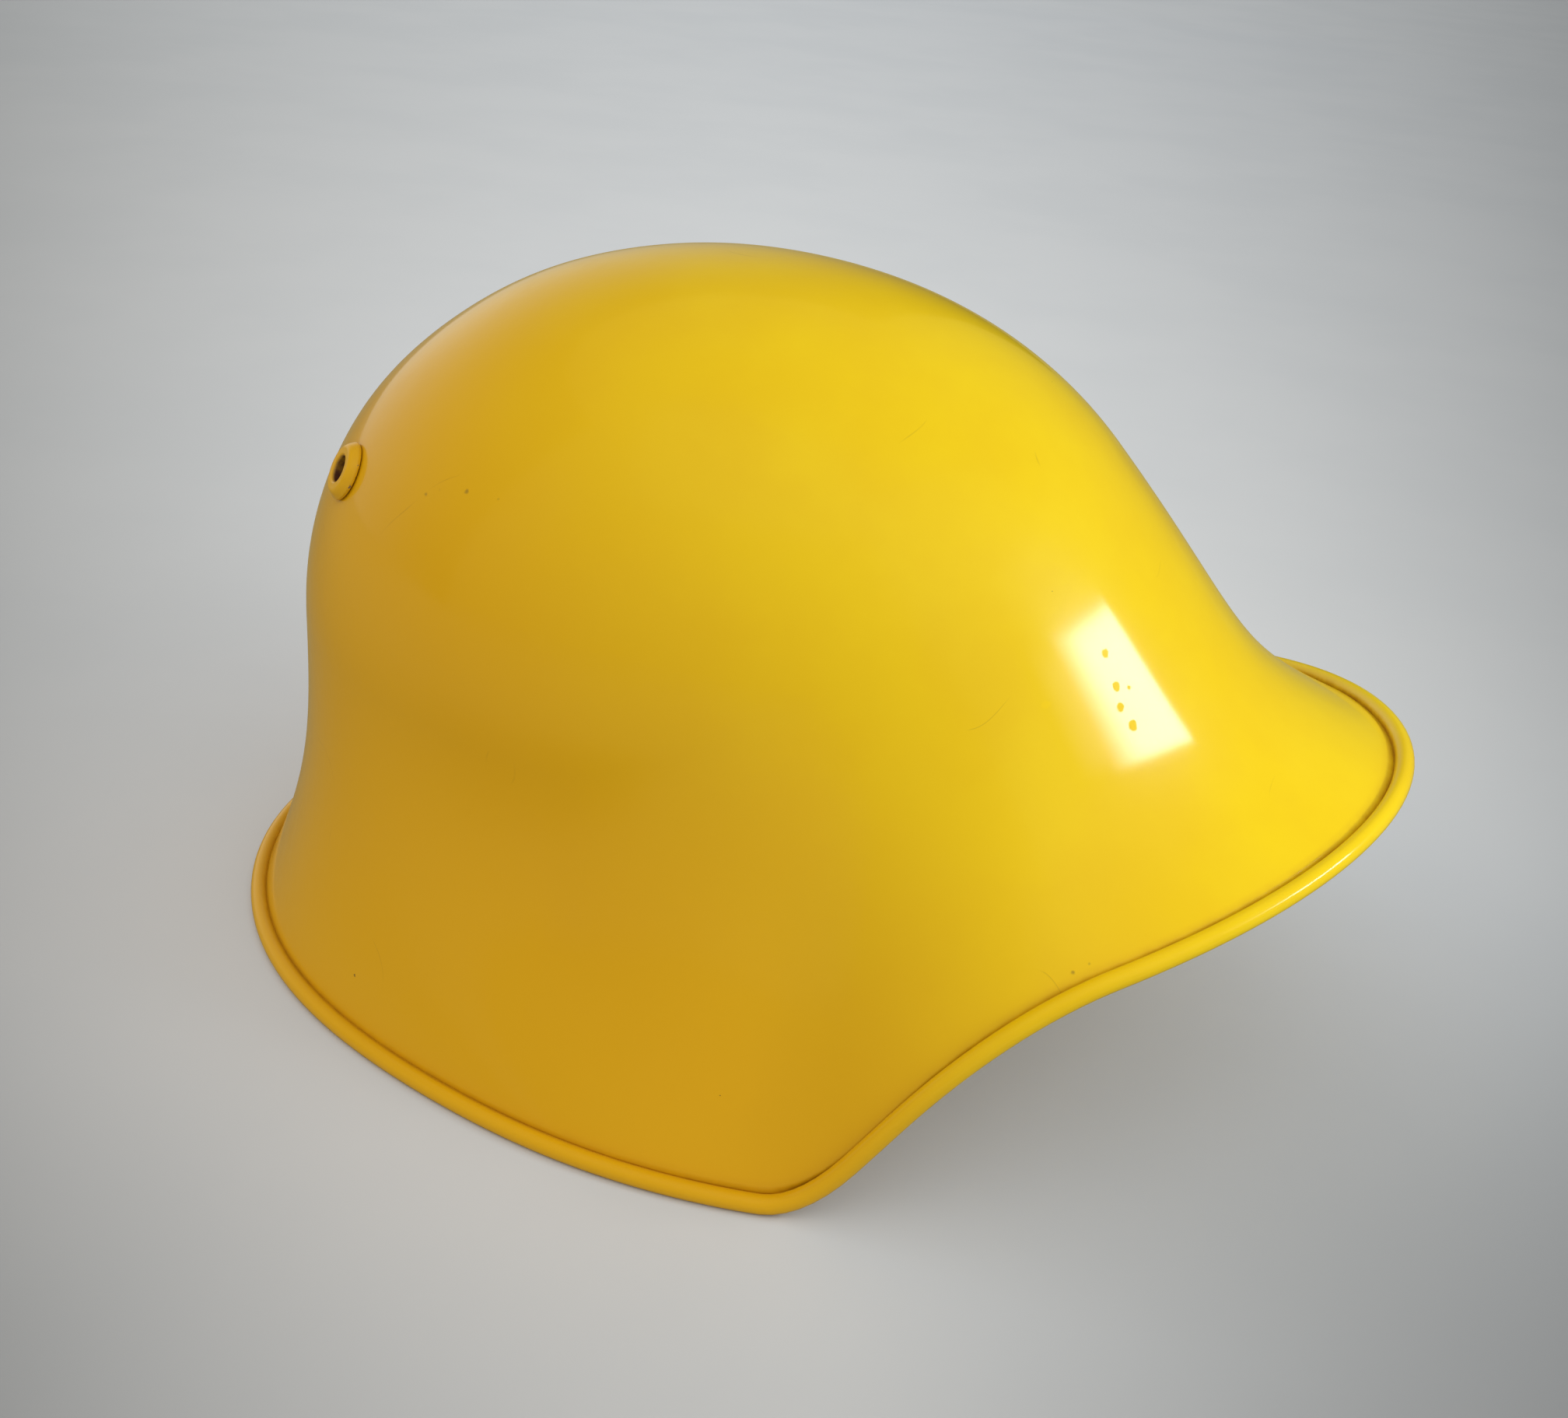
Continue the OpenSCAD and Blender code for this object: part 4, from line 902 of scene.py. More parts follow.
# %% Band, lugs and rivets
LINER_X, BAND_RX, BAND_RY, BAND_Z, BAND_TOP = -24.0267, 103.0, 83.0, 82.0, 100.0
RIVET_TURNS = np.radians([60, 180, 300])


def oval_at(turn, depth, height):
    """Point on the liner's ovals, at a depth inside the band's outer face."""
    turn, depth, height = np.broadcast_arrays(turn, depth, height)
    return np.stack([LINER_X + (BAND_RX - depth) * np.cos(turn),
                     (BAND_RY - depth) * np.sin(turn), height], -1)


def oval_out(turn):
    """Outward direction of the band's oval: its point with each length divided by its radius squared."""
    return unit(np.stack([np.cos(turn) / BAND_RX, np.sin(turn) / BAND_RY, 0 * turn], 1))


def hoop(section, steps=288):
    """Section of (depth, height) carried round the liner's oval."""
    depth, height = np.asarray(section, float).T[:, :, None]
    return looped(oval_at(np.linspace(0, 2 * np.pi, steps, endpoint=False), depth, height))


def rivet_drills(radius, near, far):
    """Drills for the three band rivets, between two depths."""
    at = oval_at(RIVET_TURNS, 0.0, (BAND_Z + BAND_TOP) / 2)
    return [rod(radius, p - far * n, p - near * n, 32) for p, n in zip(at, oval_out(RIVET_TURNS))]


band = piece_from("steel_band", hoop(eased(oblong(0, 1, BAND_Z, BAND_TOP), 0.25)))
drill(band, *rivet_drills(1.7, -4, 5))
settle(creased(band), "helmet", "band_steel", band_steel, "liner_band")
for side in ("left", "right", "rear"):
    settle(softened("liner_lug_" + side, 0.18), "helmet", "band_steel", band_steel, "liner_lug_" + side)
settle(softened("band_rivets", 0.08), "helmet", "rivet_steel", rivet_steel, "band_rivets")

# %% [markdown]
# ## The sweatband
# A strip of leather runs round inside the band, with its lower edge below the steel to keep
# it off the head. Its edges are rounded, and two rows of waxed stitches follow them. The
# mask runs from zero at mid height to one at the cut edges, where the leather shows pale.

# %% Sweatband
EDGE_REACH, STEPS = 11.0, 288
SWEAT_OUT, SWEAT_IN, SWEAT_LOW = 2.9, 4.7, 78.0
strip_edge = eased(oblong(SWEAT_OUT, SWEAT_IN, SWEAT_LOW, BAND_TOP), 0.75, 6)
sweatband = piece_from("sweat_leather", hoop(strip_edge, STEPS))
from_middle = np.abs(strip_edge[:, 1] - (SWEAT_LOW + BAND_TOP) / 2)
paint_mask(sweatband, "edge", np.repeat(from_middle / EDGE_REACH, STEPS))
drill(sweatband, *rivet_drills(1.7, -1, 8))
settle(creased(sweatband), "helmet", "liner_leather", liner_leather, "sweatband")

round_turn = np.linspace(0, 2 * np.pi, 600)
rows_of_thread = [seam(oval_at(round_turn, SWEAT_IN + 0.02, height), -oval_out(round_turn), 4.2, 3.0, 0.28)
                  for height in (SWEAT_LOW + 2.2, BAND_TOP - 2.2)]
settle(piece_from("sweatband_stitches", joined(*rows_of_thread)), "helmet", "lace", thread)

# %% [markdown]
# ## The tongues and their lace
# Nine leather tongues stand up from the band and bend inwards on an ellipsoid. Each narrows
# slowly to its lace holes and ends round. A tongue is a grid over the angle down from the
# crown and over its width, with a rolled edge made by a half circle of depth.

# %% Tongues
TONGUE_RX, TONGUE_RY, TONGUE_H = BAND_RX - 1.15, BAND_RY - 1.15, 72.1
LACE_DEG, TONGUE_T, TONGUE_HALF, TONGUE_TURNS = 26.0, 1.6, 14.5, (-40, 0, 40)
SIDES = (("front", 0), ("left", 120), ("right", -120))


def crown_at(turn_deg, down_deg, out):
    """Point on the liner's ellipsoid, out from its skin, at angles in degrees."""
    a, t, out = np.broadcast_arrays(np.radians(turn_deg), np.radians(down_deg), out)
    spread = np.stack([np.cos(a) * np.sin(t), np.sin(a) * np.sin(t), np.cos(t)], -1)
    half = np.array([TONGUE_RX, TONGUE_RY, TONGUE_H])
    return np.array([LINER_X, 0, BAND_TOP]) + spread * half + out[..., None] * unit(spread / half)


def tongue_half(down):
    """Half width in degrees: narrowing to the lace holes, then round."""
    tip = TONGUE_HALF * np.sqrt(np.clip(1 - ((LACE_DEG - down) / 5.6) ** 2, 0.0004, 1))
    return np.where(down > LACE_DEG, TONGUE_HALF + 3 * (down - LACE_DEG) / 64, tip)


def slab(top, low):
    """Closed form between two grids of points, joined round its four edges."""
    rows, cols = top.shape[:2]
    i = np.arange(cols - 1)
    cap = np.stack([i, i + 1, 2 * cols - 2 - i, 2 * cols - 1 - i], 1)
    last = cap[:, ::-1] + (rows - 1) * 2 * cols
    return closed(np.concatenate([top, low[:, ::-1]], 1).reshape(-1, 3),
                  np.concatenate([grid_quads(rows, 2 * cols), cap, last]))


def tongue(middle):
    """Closed form of one tongue, and its nearness to the cut edge."""
    down = np.concatenate([np.linspace(90, LACE_DEG, 44),
                           LACE_DEG - 5.58 * np.sin(np.radians(np.linspace(4, 90, 18)))])
    share = np.sin(np.radians(np.linspace(-90, 90, 41)))
    half_mm = np.radians(tongue_half(down)) * 92 * np.sin(np.radians(down))
    from_edge = (1 - np.abs(share)) * half_mm[:, None]
    from_edge = np.minimum(from_edge, (down - down[-1])[:, None] * 1.65)
    belly = rounding(from_edge, TONGUE_T / 2, 0.0199)
    spread = middle + tongue_half(down)[:, None] * share
    top = crown_at(spread, down[:, None], TONGUE_T / 2 * (belly - 1))
    low = crown_at(spread, down[:, None], -TONGUE_T / 2 * (belly + 1))
    root = [np.concatenate([side[:1, :, :2], np.full((1, 41, 1), z)], 2) for z in (85.0, 85.6)
            for side in (top, low)]
    top, low = np.concatenate([root[0], root[2], top]), np.concatenate([root[1], root[3], low])
    near = 1 - np.clip(from_edge / EDGE_REACH, 0, 1)
    near = np.concatenate([near[:1], near[:1], near])
    return slab(top, low), np.concatenate([near, near[:, ::-1]], 1).ravel()


def lace_drill(angle):
    """Drill for one lace hole."""
    return rod(2.6, crown_at(angle, LACE_DEG, -6.0), crown_at(angle, LACE_DEG, 4.0), 40)


for side, turned in SIDES:
    made = [tongue(turned + k) for k in TONGUE_TURNS]
    leaf = piece_from("leaves_" + side, joined(*[form for form, mask in made]))
    paint_mask(leaf, "edge", np.concatenate([mask for form, mask in made]))
    drill(leaf, *[lace_drill(turned + k + s) for k in TONGUE_TURNS for s in (-8, 8)])
    settle(creased(leaf, 50), "helmet", "liner_leather", liner_leather, "tongues_" + side)

# %% [markdown]
# The lace runs through all nine tongues, outside between them and inside behind each one.
# It is three plies laid together, so its section is a round one with three lobes that turn
# as it goes. A whole number of turns lets its end meet its start.

# %% Crown lace
LACE_R, LACE_STEPS, PLY_TURNS = 1.1, 900, 54
lace_turn = np.linspace(0, 360, LACE_STEPS, endpoint=False)
beside = np.abs(lace_turn - 40 * np.round(lace_turn / 40))
dip = smooth((beside - 8 + 3.5) / 7)
middle = crown_at(lace_turn, LACE_DEG, -TONGUE_T - 1.45 + (TONGUE_T + 2.9) * dip)
way = unit(np.roll(middle, -1, 0) - np.roll(middle, 1, 0))
upward = unit(crown_at(lace_turn, LACE_DEG, 1.0) - crown_at(lace_turn, LACE_DEG, 0.0))
beside = unit(np.cross(upward, way))
round_v = np.linspace(0, 2 * np.pi, 18, endpoint=False)
plies = round_v[None] - np.linspace(0, 2 * np.pi * PLY_TURNS, LACE_STEPS, endpoint=False)[:, None]
girth = LACE_R * (0.84 + 0.16 * np.abs(np.cos(1.5 * plies)))
lace_section = girth[..., None] * np.stack([np.cos(round_v), np.sin(round_v)], -1)
lace_rings = rings_along(middle, beside, np.cross(way, beside), lace_section)
settle(piece_from("laid_lace", looped(lace_rings)), "helmet", "lace", thread, "crown_lace")

# %% [markdown]
# ## The cushions
# Three quilted cushions fill the gap between tongues and shell. Two sheets are sewn
# together round the edge and along two channels. Real cloth under a little pressure swells
# between its seams, so a short cloth simulation with pinned seams makes that shape.

# %% Cushions
PAD_COLS, PAD_ROWS, SWELL_STEPS, SWELL_MOST = 73, 19, 20, 0.7


def cushion(name, turned):
    """Pillow of two sheets over the ellipsoid, blown up between its pinned seams."""
    u, v = np.meshgrid(np.linspace(-1, 1, PAD_COLS), np.linspace(-1, 1, PAD_ROWS), indexing="ij")
    down = 73.5 - 13.5 * v
    off = np.minimum((1 - np.abs(u)) * 86, (1 - np.abs(v)) * 20)
    lift = rounding(off, 3.5)
    to_channel = np.abs(np.abs(u) * 50 - 20) * 1.5
    quilt = 1 - 0.62 * np.exp(-(to_channel / 2.6) ** 2)
    thick = 2.2 * (1 - v ** 2) + 1.1
    front = crown_at(turned + 50 * u, down, 1.3 + thick * lift * quilt)
    backing = crown_at(turned + 50 * u, down, 1.3 - 0.75 * lift * quilt)
    number = np.arange(PAD_COLS * PAD_ROWS).reshape(PAD_COLS, PAD_ROWS)
    rim_line = np.ones(number.shape, bool)
    rim_line[1:-1, 1:-1] = False
    back_number = number.copy()
    back_number[~rim_line] = number.size + np.arange((~rim_line).sum())
    faces = grid_quads(PAD_COLS, PAD_ROWS, loop_cols=False)
    points = np.concatenate([front.reshape(-1, 3), backing[~rim_line]])
    form = closed(points, np.concatenate([faces, back_number.ravel()[faces][:, ::-1]]))
    pad = piece_from(name, form)
    lengths = np.stack([u * 78, v * 20], -1)
    lengths = np.concatenate([lengths.reshape(-1, 2), lengths[~rim_line]])
    paint_mask(pad, "across", lengths[:, 0])
    paint_mask(pad, "along", lengths[:, 1])
    held = rim_line | (to_channel < 0.6)
    held = np.concatenate([held.ravel(), held[~rim_line]])
    pins = pad.vertex_groups.new(name="seams")
    pins.add(np.flatnonzero(held).tolist(), 1.0, "REPLACE")
    cloth = pad.modifiers.new("swelling", "CLOTH")
    cloth.settings.quality = 6
    cloth.settings.mass = 0.15
    cloth.settings.use_pressure = True
    cloth.settings.uniform_pressure_force = 4.0
    cloth.settings.effector_weights.gravity = 0.0
    cloth.settings.vertex_group_mass = "seams"
    cloth.collision_settings.use_collision = False
    cloth.point_cache.frame_start, cloth.point_cache.frame_end = 1, SWELL_STEPS
    for step in range(1, SWELL_STEPS + 1):
        bpy.context.scene.frame_set(step)
    start = points * MM
    keep_result(pad)
    blown = np.empty(len(points) * 3, np.float32)
    pad.data.vertices.foreach_get("co", blown)
    moved = blown.reshape(-1, 3) - start
    far = np.linalg.norm(moved, axis=1, keepdims=True)
    moved = moved * np.minimum(1, SWELL_MOST * MM / np.maximum(far, 1e-9))
    pad.data.vertices.foreach_set("co", (start + moved).astype(np.float32).ravel())
    pad.data.update()
    bpy.context.scene.frame_set(1)
    print(f"{name}: swelled by up to {far.max() / MM:.2f} mm")
    finer = pad.modifiers.new("finer", "SUBSURF")
    finer.levels = finer.render_levels = 1
    keep_result(pad)
    return pad


for side, turned in SIDES:
    settle(cushion("cushion_" + side, turned), "helmet", "cushion_cloth", cushion_cloth, "pad_" + side)
    sewn = []
    for turn_line in (-20, 20):
        path = crown_at(turned + turn_line, np.linspace(63, 84, 40), 2.75)
        sewn.append(seam(path, unit(path - np.array([LINER_X, 0, BAND_TOP])), 3.2, 2.2, 0.26))
    settle(piece_from("cushion_stitches_" + side, joined(*sewn)), "helmet", "lace", thread)

# %% [markdown]
# ## Wire rings
# The chin strap hangs from two bails, and its buckle is a third ring of round wire. A ring
# is a rectangle with round corners, followed by a circle. Each ring's plane is set by
# two directions: along its bars, and from its first bar to its second.

# %% Bails and buckle frame
STRAP_X, BAR_Y, BAR_Z, EYE_Y, EYE_Z = -5.02675, 98.2672, 4.1, 107.732, 17.0
BAIL_R, BUCKLE_R = 1.5, 1.3


def rounded_loop(wide, tall, corner, arc=10, run=6):
    """Points round a rectangle with round corners, from y = 0 to tall, and their outward directions."""
    turn = np.linspace(0, np.pi / 2, arc + 1)
    path, out = [], []
    for k, (sx, top) in enumerate([(1, 1), (-1, 1), (-1, 0), (1, 0)]):
        v = turn + k * np.pi / 2
        centre = np.array([sx * (wide / 2 - corner), tall - corner if top else corner])
        normal = np.stack([np.cos(v), np.sin(v)], 1)
        path.append(centre + corner * normal)
        out.append(normal)
        ahead = [(-1, 1), (-1, 0), (1, 0), (1, 1)][k]
        goal = np.array([ahead[0] * (wide / 2 - corner), tall - corner if ahead[1] else corner])
        goal = goal + corner * normal[-1]
        share = np.linspace(0, 1, run + 2)[1:-1, None]
        path.append(path[-1][-1] * (1 - share) + goal * share)
        out.append(np.repeat(normal[-1:], run, 0))
    return np.concatenate(path), np.concatenate(out)


def wire_ring(wide, tall, radius, corner, at, down):
    """Ring of wire whose first bar lies along X at a point, and whose plane runs down from it."""
    path, out = rounded_loop(wide, tall, corner)
    bar, down = np.array([1.0, 0, 0]), unit(np.asarray(down, float))
    place = lambda p: p[:, :1] * bar + p[:, 1:] * down
    return looped(rings_along(np.asarray(at, float) + place(path), place(out), np.cross(bar, down),
                              circle(radius, 20)))


for side, flip in (("left", 1), ("right", -1)):
    bail = piece_from("ring_" + side, wire_ring(26, 16, BAIL_R, 4, [STRAP_X, flip * EYE_Y, EYE_Z],
                                                [0, flip * (BAR_Y - EYE_Y), BAR_Z - EYE_Z]))
    settle(bail, "bail_" + side, "plated_wire", plated_wire, "bail_" + side)
    settle(softened("strap_lug_" + side, 0.2), "helmet", "band_steel", band_steel, "strap_lug_" + side)

SHORT_LEN, DROP = 61.0, math.radians(9.78782)
heel = [STRAP_X, -(BAR_Y - SHORT_LEN), BAR_Z]
ring = piece_from("buckle_ring", wire_ring(22, 15, BUCKLE_R, 3, heel,
                                           [0, math.cos(DROP), -math.sin(DROP)]))
settle(ring, "buckle_frame", "plated_wire", plated_wire, "buckle_frame")
settle(softened("buckle_prong", 0.1), "buckle_prong", "plated_wire", plated_wire, "buckle_prong")

# %% [markdown]
# ## The chin strap
# Each half is one strip of leather folded round its bar and riveted. A strip follows a path
# in the plane across the bar, as lines and arcs. The long half folds back on itself at the
# chin and shows its holes on top, and a keeper on the short half holds the free end.
# The two layers of a fold part at the same distance from every bar.

# %% Strap paths
STRAP_W, STRAP_T, LAYER = 15.0, 2.2, 1.1
PART_Y, LOOP_Y, LOOP_Z, HEEL_Z = 9.2, 0.8, 2.68, 2.42
HOLE_R, RIVET_R = 1.4, 1.48


def arc_path(centre, radius, start_deg, end_deg, steps):
    """Points (y, z) on an arc."""
    v = np.radians(np.linspace(start_deg, end_deg, steps))
    return np.array(centre) + radius * np.stack([np.cos(v), np.sin(v)], 1)


def line_path(start, end, steps):
    """Points (y, z) on a line, without its ends."""
    share = np.linspace(0, 1, steps + 2)[1:-1, None]
    return np.array(start) * (1 - share) + np.array(end) * share


def leather_strip(path, tip_r=None):
    """Strip of strap leather along (y, z) points, with a round last end where a tip radius is given."""
    way = unit(np.gradient(path, axis=0))
    section = strip(STRAP_W, STRAP_T, 0.55, 4, 8)
    run = np.concatenate([[0], np.cumsum(np.linalg.norm(np.diff(path, axis=0), axis=1))])
    wide = np.ones(len(path))
    if tip_r:
        left = np.clip(run[-1] - run, 0.05, tip_r)
        wide = np.minimum(1, np.sqrt(tip_r ** 2 - (tip_r - left) ** 2) / (STRAP_W / 2))
    ends = np.minimum(run, run[-1] - run)
    flat = rounding(ends, 0.6, 0.05)
    sections = section[None] * np.stack([wide, flat], 1)[:, None]
    spine = np.stack([0 * path[:, 0], path[:, 0], path[:, 1]], 1)
    rise = np.stack([0 * path[:, 0], -way[:, 1], way[:, 0]], 1)
    form = capped(rings_along(spine, [1.0, 0, 0], rise, sections))
    from_edge = (STRAP_W / 2 - np.abs(section[:, 0])) * wide[:, None]
    from_edge = np.minimum(from_edge, ends[:, None])
    return form, np.append(1 - np.clip(from_edge / EDGE_REACH, 0, 1).ravel(), [1, 1])


def placed(form, side, tilt_deg=0.0):
    """From a strap's own lengths to the helmet: tilted about the bar, then set inwards from it."""
    points = form[0].copy()
    tilt = math.radians(-tilt_deg)
    y = points[:, 1] * math.cos(tilt) - points[:, 2] * math.sin(tilt)
    z = points[:, 1] * math.sin(tilt) + points[:, 2] * math.cos(tilt)
    return closed(np.stack([STRAP_X + points[:, 0], side * (BAR_Y - y), BAR_Z + z], 1), form[1], form[2])


def loop_radius(wire_radius):
    """Radius of a fold's middle line: the wire, a little play and half the leather."""
    return wire_radius + 0.15 + STRAP_T / 2


into_loop = line_path([PART_Y, LAYER], [LOOP_Y, LOOP_Z], 8)
around_bar = arc_path([0, 0], loop_radius(BAIL_R), 74, 286, 26)
out_of_loop = line_path([LOOP_Y, -LOOP_Z], [PART_Y, -LAYER], 8)
print("points round a bar:", len(around_bar))

# %% Long half
LONG_RUN, TIP_Y, TILT = 110.234, 52.7, 0.857642
BACK_Z, BEND_R = 6.7, 3.9
long_path = np.concatenate([
    [[22, LAYER], [21.8, LAYER]], line_path([21.4, LAYER], [PART_Y, LAYER], 12), into_loop, around_bar,
    out_of_loop, line_path([PART_Y, -LAYER], [LONG_RUN, -LAYER], 70),
    arc_path([LONG_RUN, BACK_Z - BEND_R], BEND_R, -90, 90, 22),
    line_path([LONG_RUN, BACK_Z], [TIP_Y + 6, BACK_Z], 36),
    line_path([TIP_Y + 6, BACK_Z], [TIP_Y + 0.9, BACK_Z], 16),
    line_path([TIP_Y + 0.9, BACK_Z], [TIP_Y, BACK_Z], 8)])
form, mask = leather_strip(long_path, tip_r=8.4)
long_strap = piece_from("long_strip", placed(form, 1, TILT))
paint_mask(long_strap, "edge", mask)
cutters = [rod(HOLE_R, [0, y, 4.9], [0, y, 9.0], 32) for y in TIP_Y + 14 + 8 * np.arange(5)]
cutters.append(rod(RIVET_R, [0, 15, -5], [0, 15, 4.4], 32))
drill(long_strap, *[placed(c, 1, TILT) for c in cutters])
settle(creased(long_strap), "strap_long", "strap_leather", strap_leather, "strap_long")
settle(softened("strap_long_rivet", 0.08), "strap_long", "rivet_steel", rivet_steel, "strap_long_rivet")

# %% Short half
short_path = np.concatenate([
    line_path([30.9, LAYER], [PART_Y, LAYER], 20), into_loop, around_bar, out_of_loop,
    line_path([PART_Y, -LAYER], [SHORT_LEN - PART_Y, -LAYER], 40),
    line_path([SHORT_LEN - PART_Y, -LAYER], [SHORT_LEN - LOOP_Y, -HEEL_Z], 8),
    arc_path([SHORT_LEN, 0], loop_radius(BUCKLE_R), -106, 106, 26),
    line_path([SHORT_LEN - LOOP_Y, HEEL_Z], [SHORT_LEN - PART_Y, LAYER], 8),
    line_path([SHORT_LEN - PART_Y, LAYER], [31.1, LAYER], 20)])
form, mask = leather_strip(short_path)
short_strap = piece_from("short_strip", placed(form, -1))
paint_mask(short_strap, "edge", mask)
slot = capped(rings_along(np.array([[0, 55.0, 0], [0, 68.0, 0]]), [1.0, 0, 0], [0, 0, 1.0],
                          eased(oblong(-2.1, 2.1, -6, 6), 0.1, 2)))
cutters = [slot] + [rod(RIVET_R, [0, y, -5], [0, y, 5], 32) for y in (15, 46)]
drill(short_strap, *[placed(c, -1) for c in cutters])
settle(creased(short_strap), "strap_short", "strap_leather", strap_leather, "strap_short")
rivets = softened("strap_short_rivets", 0.08)
settle(rivets, "strap_short", "rivet_steel", rivet_steel, "strap_short_rivets")

# %% Keeper
KEEPER_W, KEEPER_Y = 8.0, 30.5
keeper_path, keeper_out = rounded_loop(17.0, 9.2, 1.1, 6, 8)
keeper_path = keeper_path + [0, -3.2]
keeper_section = strip(KEEPER_W, 1.4, 0.35, 3, 4)
count = len(keeper_path)
spine = np.stack([keeper_path[:, 0], np.full(count, KEEPER_Y), keeper_path[:, 1]], 1)
keeper_rise = np.stack([keeper_out[:, 0], np.zeros(count), keeper_out[:, 1]], 1)
keeper_form = looped(rings_along(spine, [0, 1.0, 0], keeper_rise, keeper_section))
keeper = piece_from("keeper_loop", placed(keeper_form, -1))
from_side = KEEPER_W / 2 - np.abs(keeper_section[:, 0])
paint_mask(keeper, "edge", np.tile(1 - from_side / EDGE_REACH, count))
settle(keeper, "strap_keeper", "strap_leather", strap_leather, "strap_keeper")

# %% [markdown]
# ## The floor and the light
# The helmet rests on a pale sheet in a plain studio. The sheet's colour is painted darker away
# from the helmet, a painted pool of light: the pool's tone is worked out where the main camera
# sees each point and kept on the mesh. Mirrored, the sheet shows a painted warmer tone, like a room's.

# %% Floor
HALF_W, HALF_H, FAR_TONE = 1008, 912, 0.80
floor_skin, tree, shader, coords = new_material("pale floor", Roughness=0.85, Specular_IOR_Level=0.15)
sheet_tone = use(tree, drift, Coordinates=coords, Color=(0.80, 0.805, 0.80, 1),
                 Other=(0.76, 0.77, 0.77, 1), Size=160.0, Amount=0.6).outputs["Color"]
# painted reflection: glossy rays see the sheet in a warm tone
mirrored = add(tree, "LightPath").outputs["Is Glossy Ray"]
sheet_tone = blended(tree, mirrored, sheet_tone, (0.44, 0.38, 0.20, 1))
feed(tree, shader, Base_Color=blended(tree, attribute(tree, "pool"), (0, 0, 0, 1), sheet_tone))
seen_from_below = add(tree, "NewGeometry").outputs["Backfacing"]
clear = add(tree, "BsdfTransparent").outputs[0]
mixed = add(tree, "MixShader", {0: seen_from_below, 1: shader.outputs[0], 2: clear})
tree.links.new(mixed.outputs[0], tree.nodes["Material Output"].inputs["Surface"])


def sheet_from(name, points, rows, cols):
    """Flat-shaded open sheet through a grid of points, for the stage."""
    faces = grid_quads(rows, cols, loop_cols=False)
    return piece_from(name, (points.reshape(-1, 3), faces, np.zeros((0, 3), int)), soft_shade=False)


wide = np.sinh(np.linspace(-5.2, 5.2, 241)) * 330
floor_x, floor_y = np.meshgrid(wide, wide, indexing="ij")
flat = np.stack([floor_x, floor_y, 0 * floor_x], -1).reshape(-1, 3)
seen = flat - eye / MM
depth = np.maximum(-seen @ back, 1)
frame_x = FOCAL * (seen @ right) / depth / HALF_W
frame_y = -FOCAL * (seen @ above) / depth / HALF_H
# painted pool of light: the floor's colour darkens towards the frame's sides, its foot and its lower right
sides = 1 - 0.40 * np.clip(np.abs(frame_x), 0, 1.1) ** 1.7
front = smooth((frame_y - 0.1) / 1.05)
pool = sides * (1 - 0.36 * front) * (1 - 0.20 * smooth(1.2 * frame_x) * smooth(1.2 * frame_y))
beyond = smooth(np.maximum(np.abs(frame_x), np.abs(frame_y)) / 1.1 - 1) * (depth > 1) + (depth <= 1)
floor = sheet_from("floor", flat, 241, 241)
paint_mask(floor, "pool", pool + (FAR_TONE - pool) * beyond)
floor.data.materials.append(floor_skin)

# %% [markdown]
# Large soft lamps give the even light, and a warm one from the rear right lets the shade
# glow. A window to the front right is the bright thing that the enamel mirrors: a glowing
# panel near enough for its reflection to bend with the shell, with a bright core and a faint
# rest. A pale wall behind gives the band of sheen along the top, and shows in mirrors alone.
# A lamp beneath lights only the lining, for the views from below.

# %% Lamps
AIM = np.array([0.0, 0.0, 80.0])


def toward(azimuth_deg, elevation_deg, distance):
    """Point in a direction from the helmet, with azimuth from the front towards the left."""
    a, e = np.radians(azimuth_deg), np.radians(elevation_deg)
    return AIM + distance * np.stack([np.cos(a) * np.cos(e), np.sin(a) * np.cos(e), np.sin(e)], -1)


def lamp(name, azimuth_deg, elevation_deg, distance, wide, tall, level, colour):
    """Area lamp facing the helmet, whose glow at its face is level."""
    data = bpy.data.lights.new(name, "AREA")
    data.shape, data.size, data.size_y = "RECTANGLE", wide * MM, tall * MM
    data.energy = level * wide * tall * MM * MM * math.pi
    data.color = colour
    lit = bpy.data.objects.new(name, data)
    at = Vector(toward(azimuth_deg, elevation_deg, distance) * MM)
    facing = (at - Vector(AIM * MM)).to_track_quat("Z", "Y").to_matrix().to_4x4()
    lit.matrix_world = Matrix.Translation(at) @ facing
    lit.visible_glossy = False
    bpy.context.scene.collection.objects.link(lit)
    return lit


lamp("soft_key", -25, 36, 1700, 1500, 1300, 1.15, (1.0, 1.0, 0.97))
lamp("side_soft", -95, 58, 1700, 1400, 1000, 0.95, (1.0, 0.99, 0.97))
lamp("warm_fill", -160, 26, 1800, 1600, 900, 1.0, (1.0, 0.78, 0.50))

# %% Window and wall
def shares(cols, rows):
    """Grid of the two shares, from 0 to 1, across a sheet of light and up it."""
    return np.meshgrid(np.linspace(0, 1, cols), np.linspace(0, 1, rows), indexing="ij")


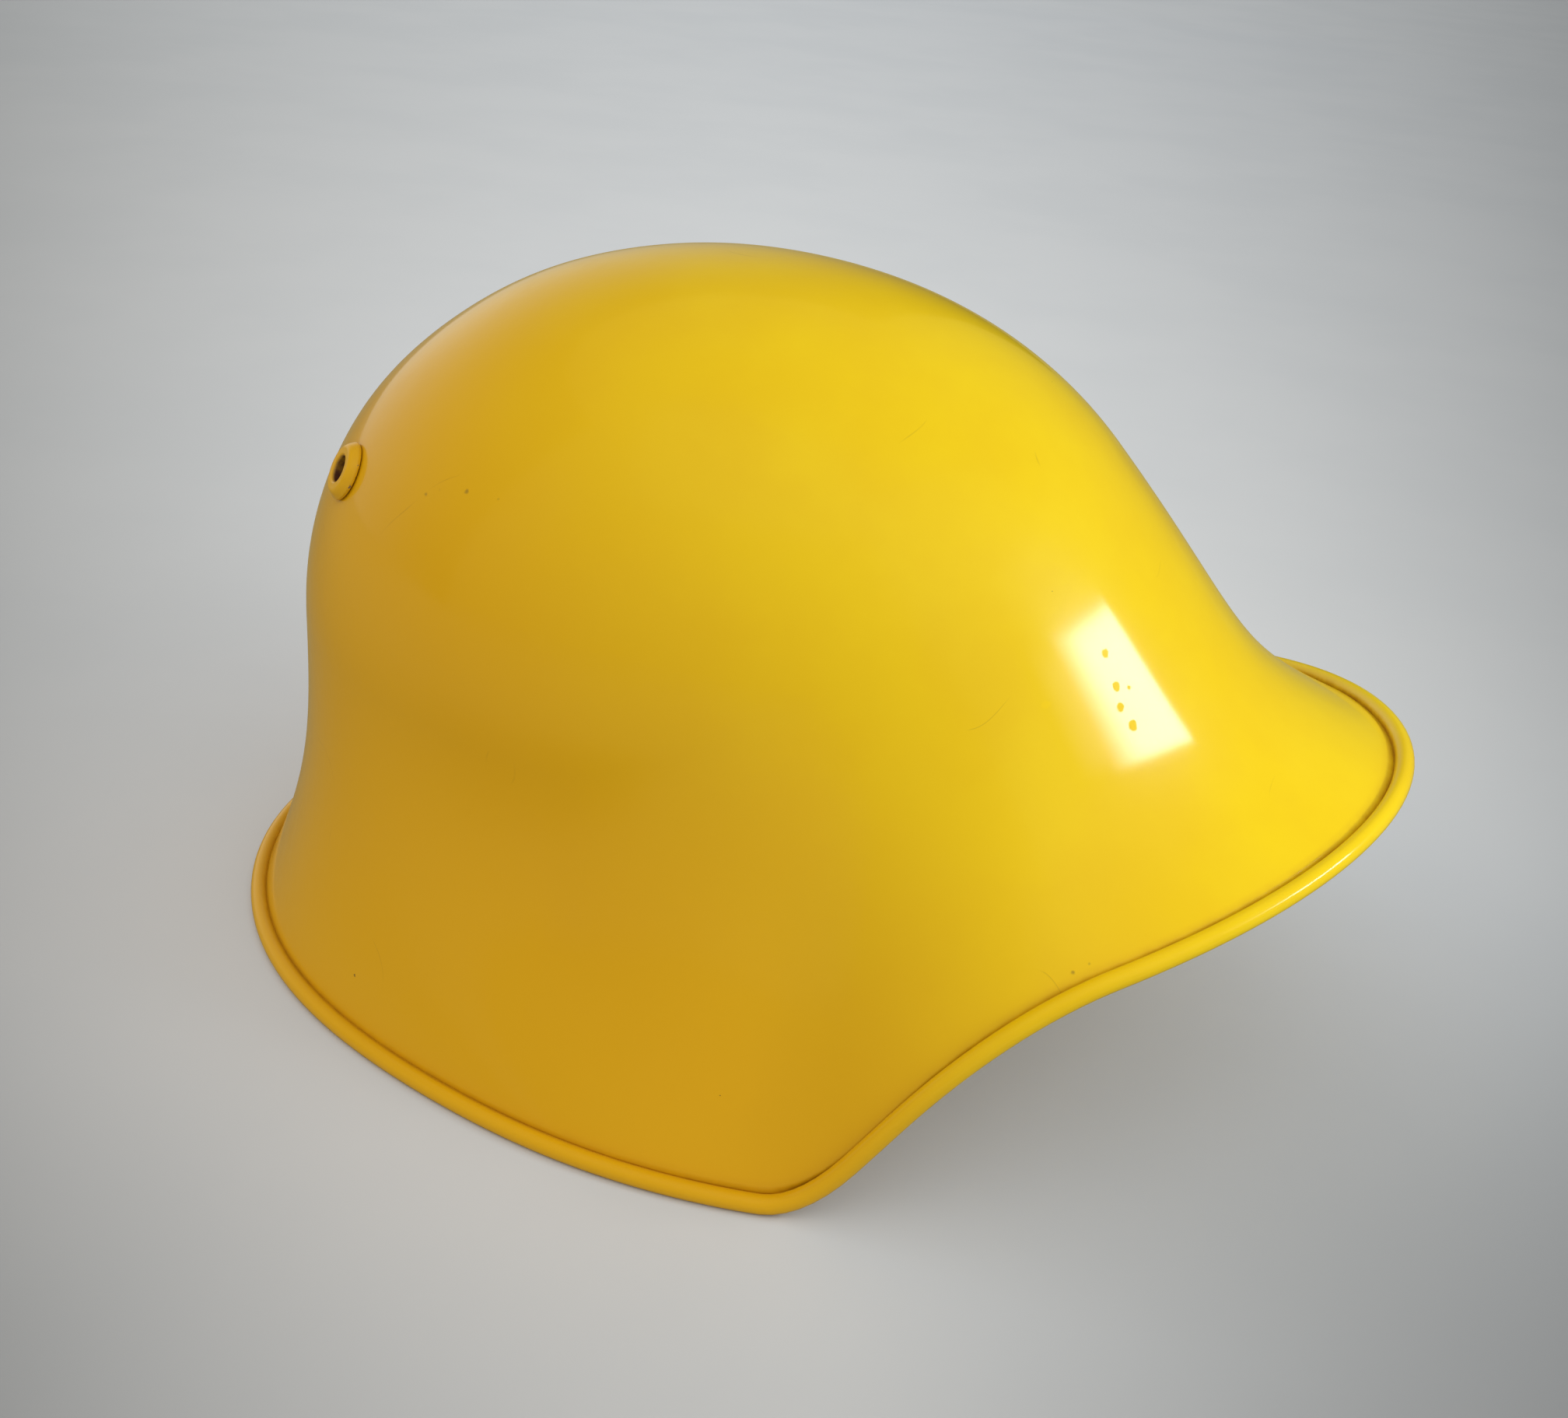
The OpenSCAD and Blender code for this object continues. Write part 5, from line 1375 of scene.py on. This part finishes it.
def glowing(name, material_name, points, glow, strength, colour):
    """Sheet of light through a grid of points, whose glow at each point is kept on its mesh."""
    material, tree, shader = new_material(
        material_name, Base_Color=(0, 0, 0, 1), Roughness=1.0, Emission_Strength=strength)[:3]
    feed(tree, shader, Emission_Color=blended(tree, attribute(tree, "glow"), (0, 0, 0, 1), colour))
    sheet = sheet_from(name, points, *glow.shape)
    paint_mask(sheet, "glow", glow.ravel())
    sheet.data.materials.append(material)
    sheet.visible_camera = sheet.visible_shadow = False
    return sheet


across, up = shares(65, 17)
window_at = toward(2.3 - 34 * across, 21.5 + up * (7.1 - 0.9 * np.clip((across - 0.3) / 0.5, 0, 1)), 450)
core = 1 - smooth((across - 0.40) / 0.36)
haze = 0.22 * (1 - np.clip((across - 0.45) / 0.5, 0, 1)) * (1 - smooth((up - 0.6) / 0.4))
window = glowing("window", "window light", window_at, np.maximum(core, haze), 17.0, (0.95, 0.98, 1.0, 1))

across, up = shares(33, 17)
wall_at = toward(86 + 125 * across, -2 + 52 * up, 2600)
fading = smooth(across / 0.4) * smooth((1 - across) / 0.6) * smooth((1 - up) / 0.8)
wall = glowing("wall", "pale wall", wall_at, fading, 0.80, (1.0, 0.95, 0.78, 1))
wall.visible_diffuse = False

# %% Lamp beneath and world
under = lamp("under_glow", 0, -89, 1300, 1100, 1100, 1.4, (1.0, 0.98, 0.95))
inner = bpy.data.collections.new("seen_from_below")
for piece in [o for o in bpy.context.scene.objects if o.type == "MESH"]:
    if piece.name.split("_")[0] not in ("floor", "window", "wall", "shell", "eyelet"):
        inner.objects.link(piece)
under.light_linking.receiver_collection = inner
under.light_linking.blocker_collection = inner

world = bpy.data.worlds.new("studio")
bpy.context.scene.world = world
world.use_nodes = True
sky = world.node_tree
plain = sky.nodes["Background"]
path = add(sky, "LightPath")
air = blended(sky, path.outputs["Is Glossy Ray"], (0.70, 0.73, 0.76, 1), (0.26, 0.215, 0.08, 1))
air = blended(sky, path.outputs["Is Camera Ray"], air, (0.43, 0.45, 0.46, 1))
sky.links.new(air, plain.inputs["Color"])
plain.inputs["Strength"].default_value = 0.90
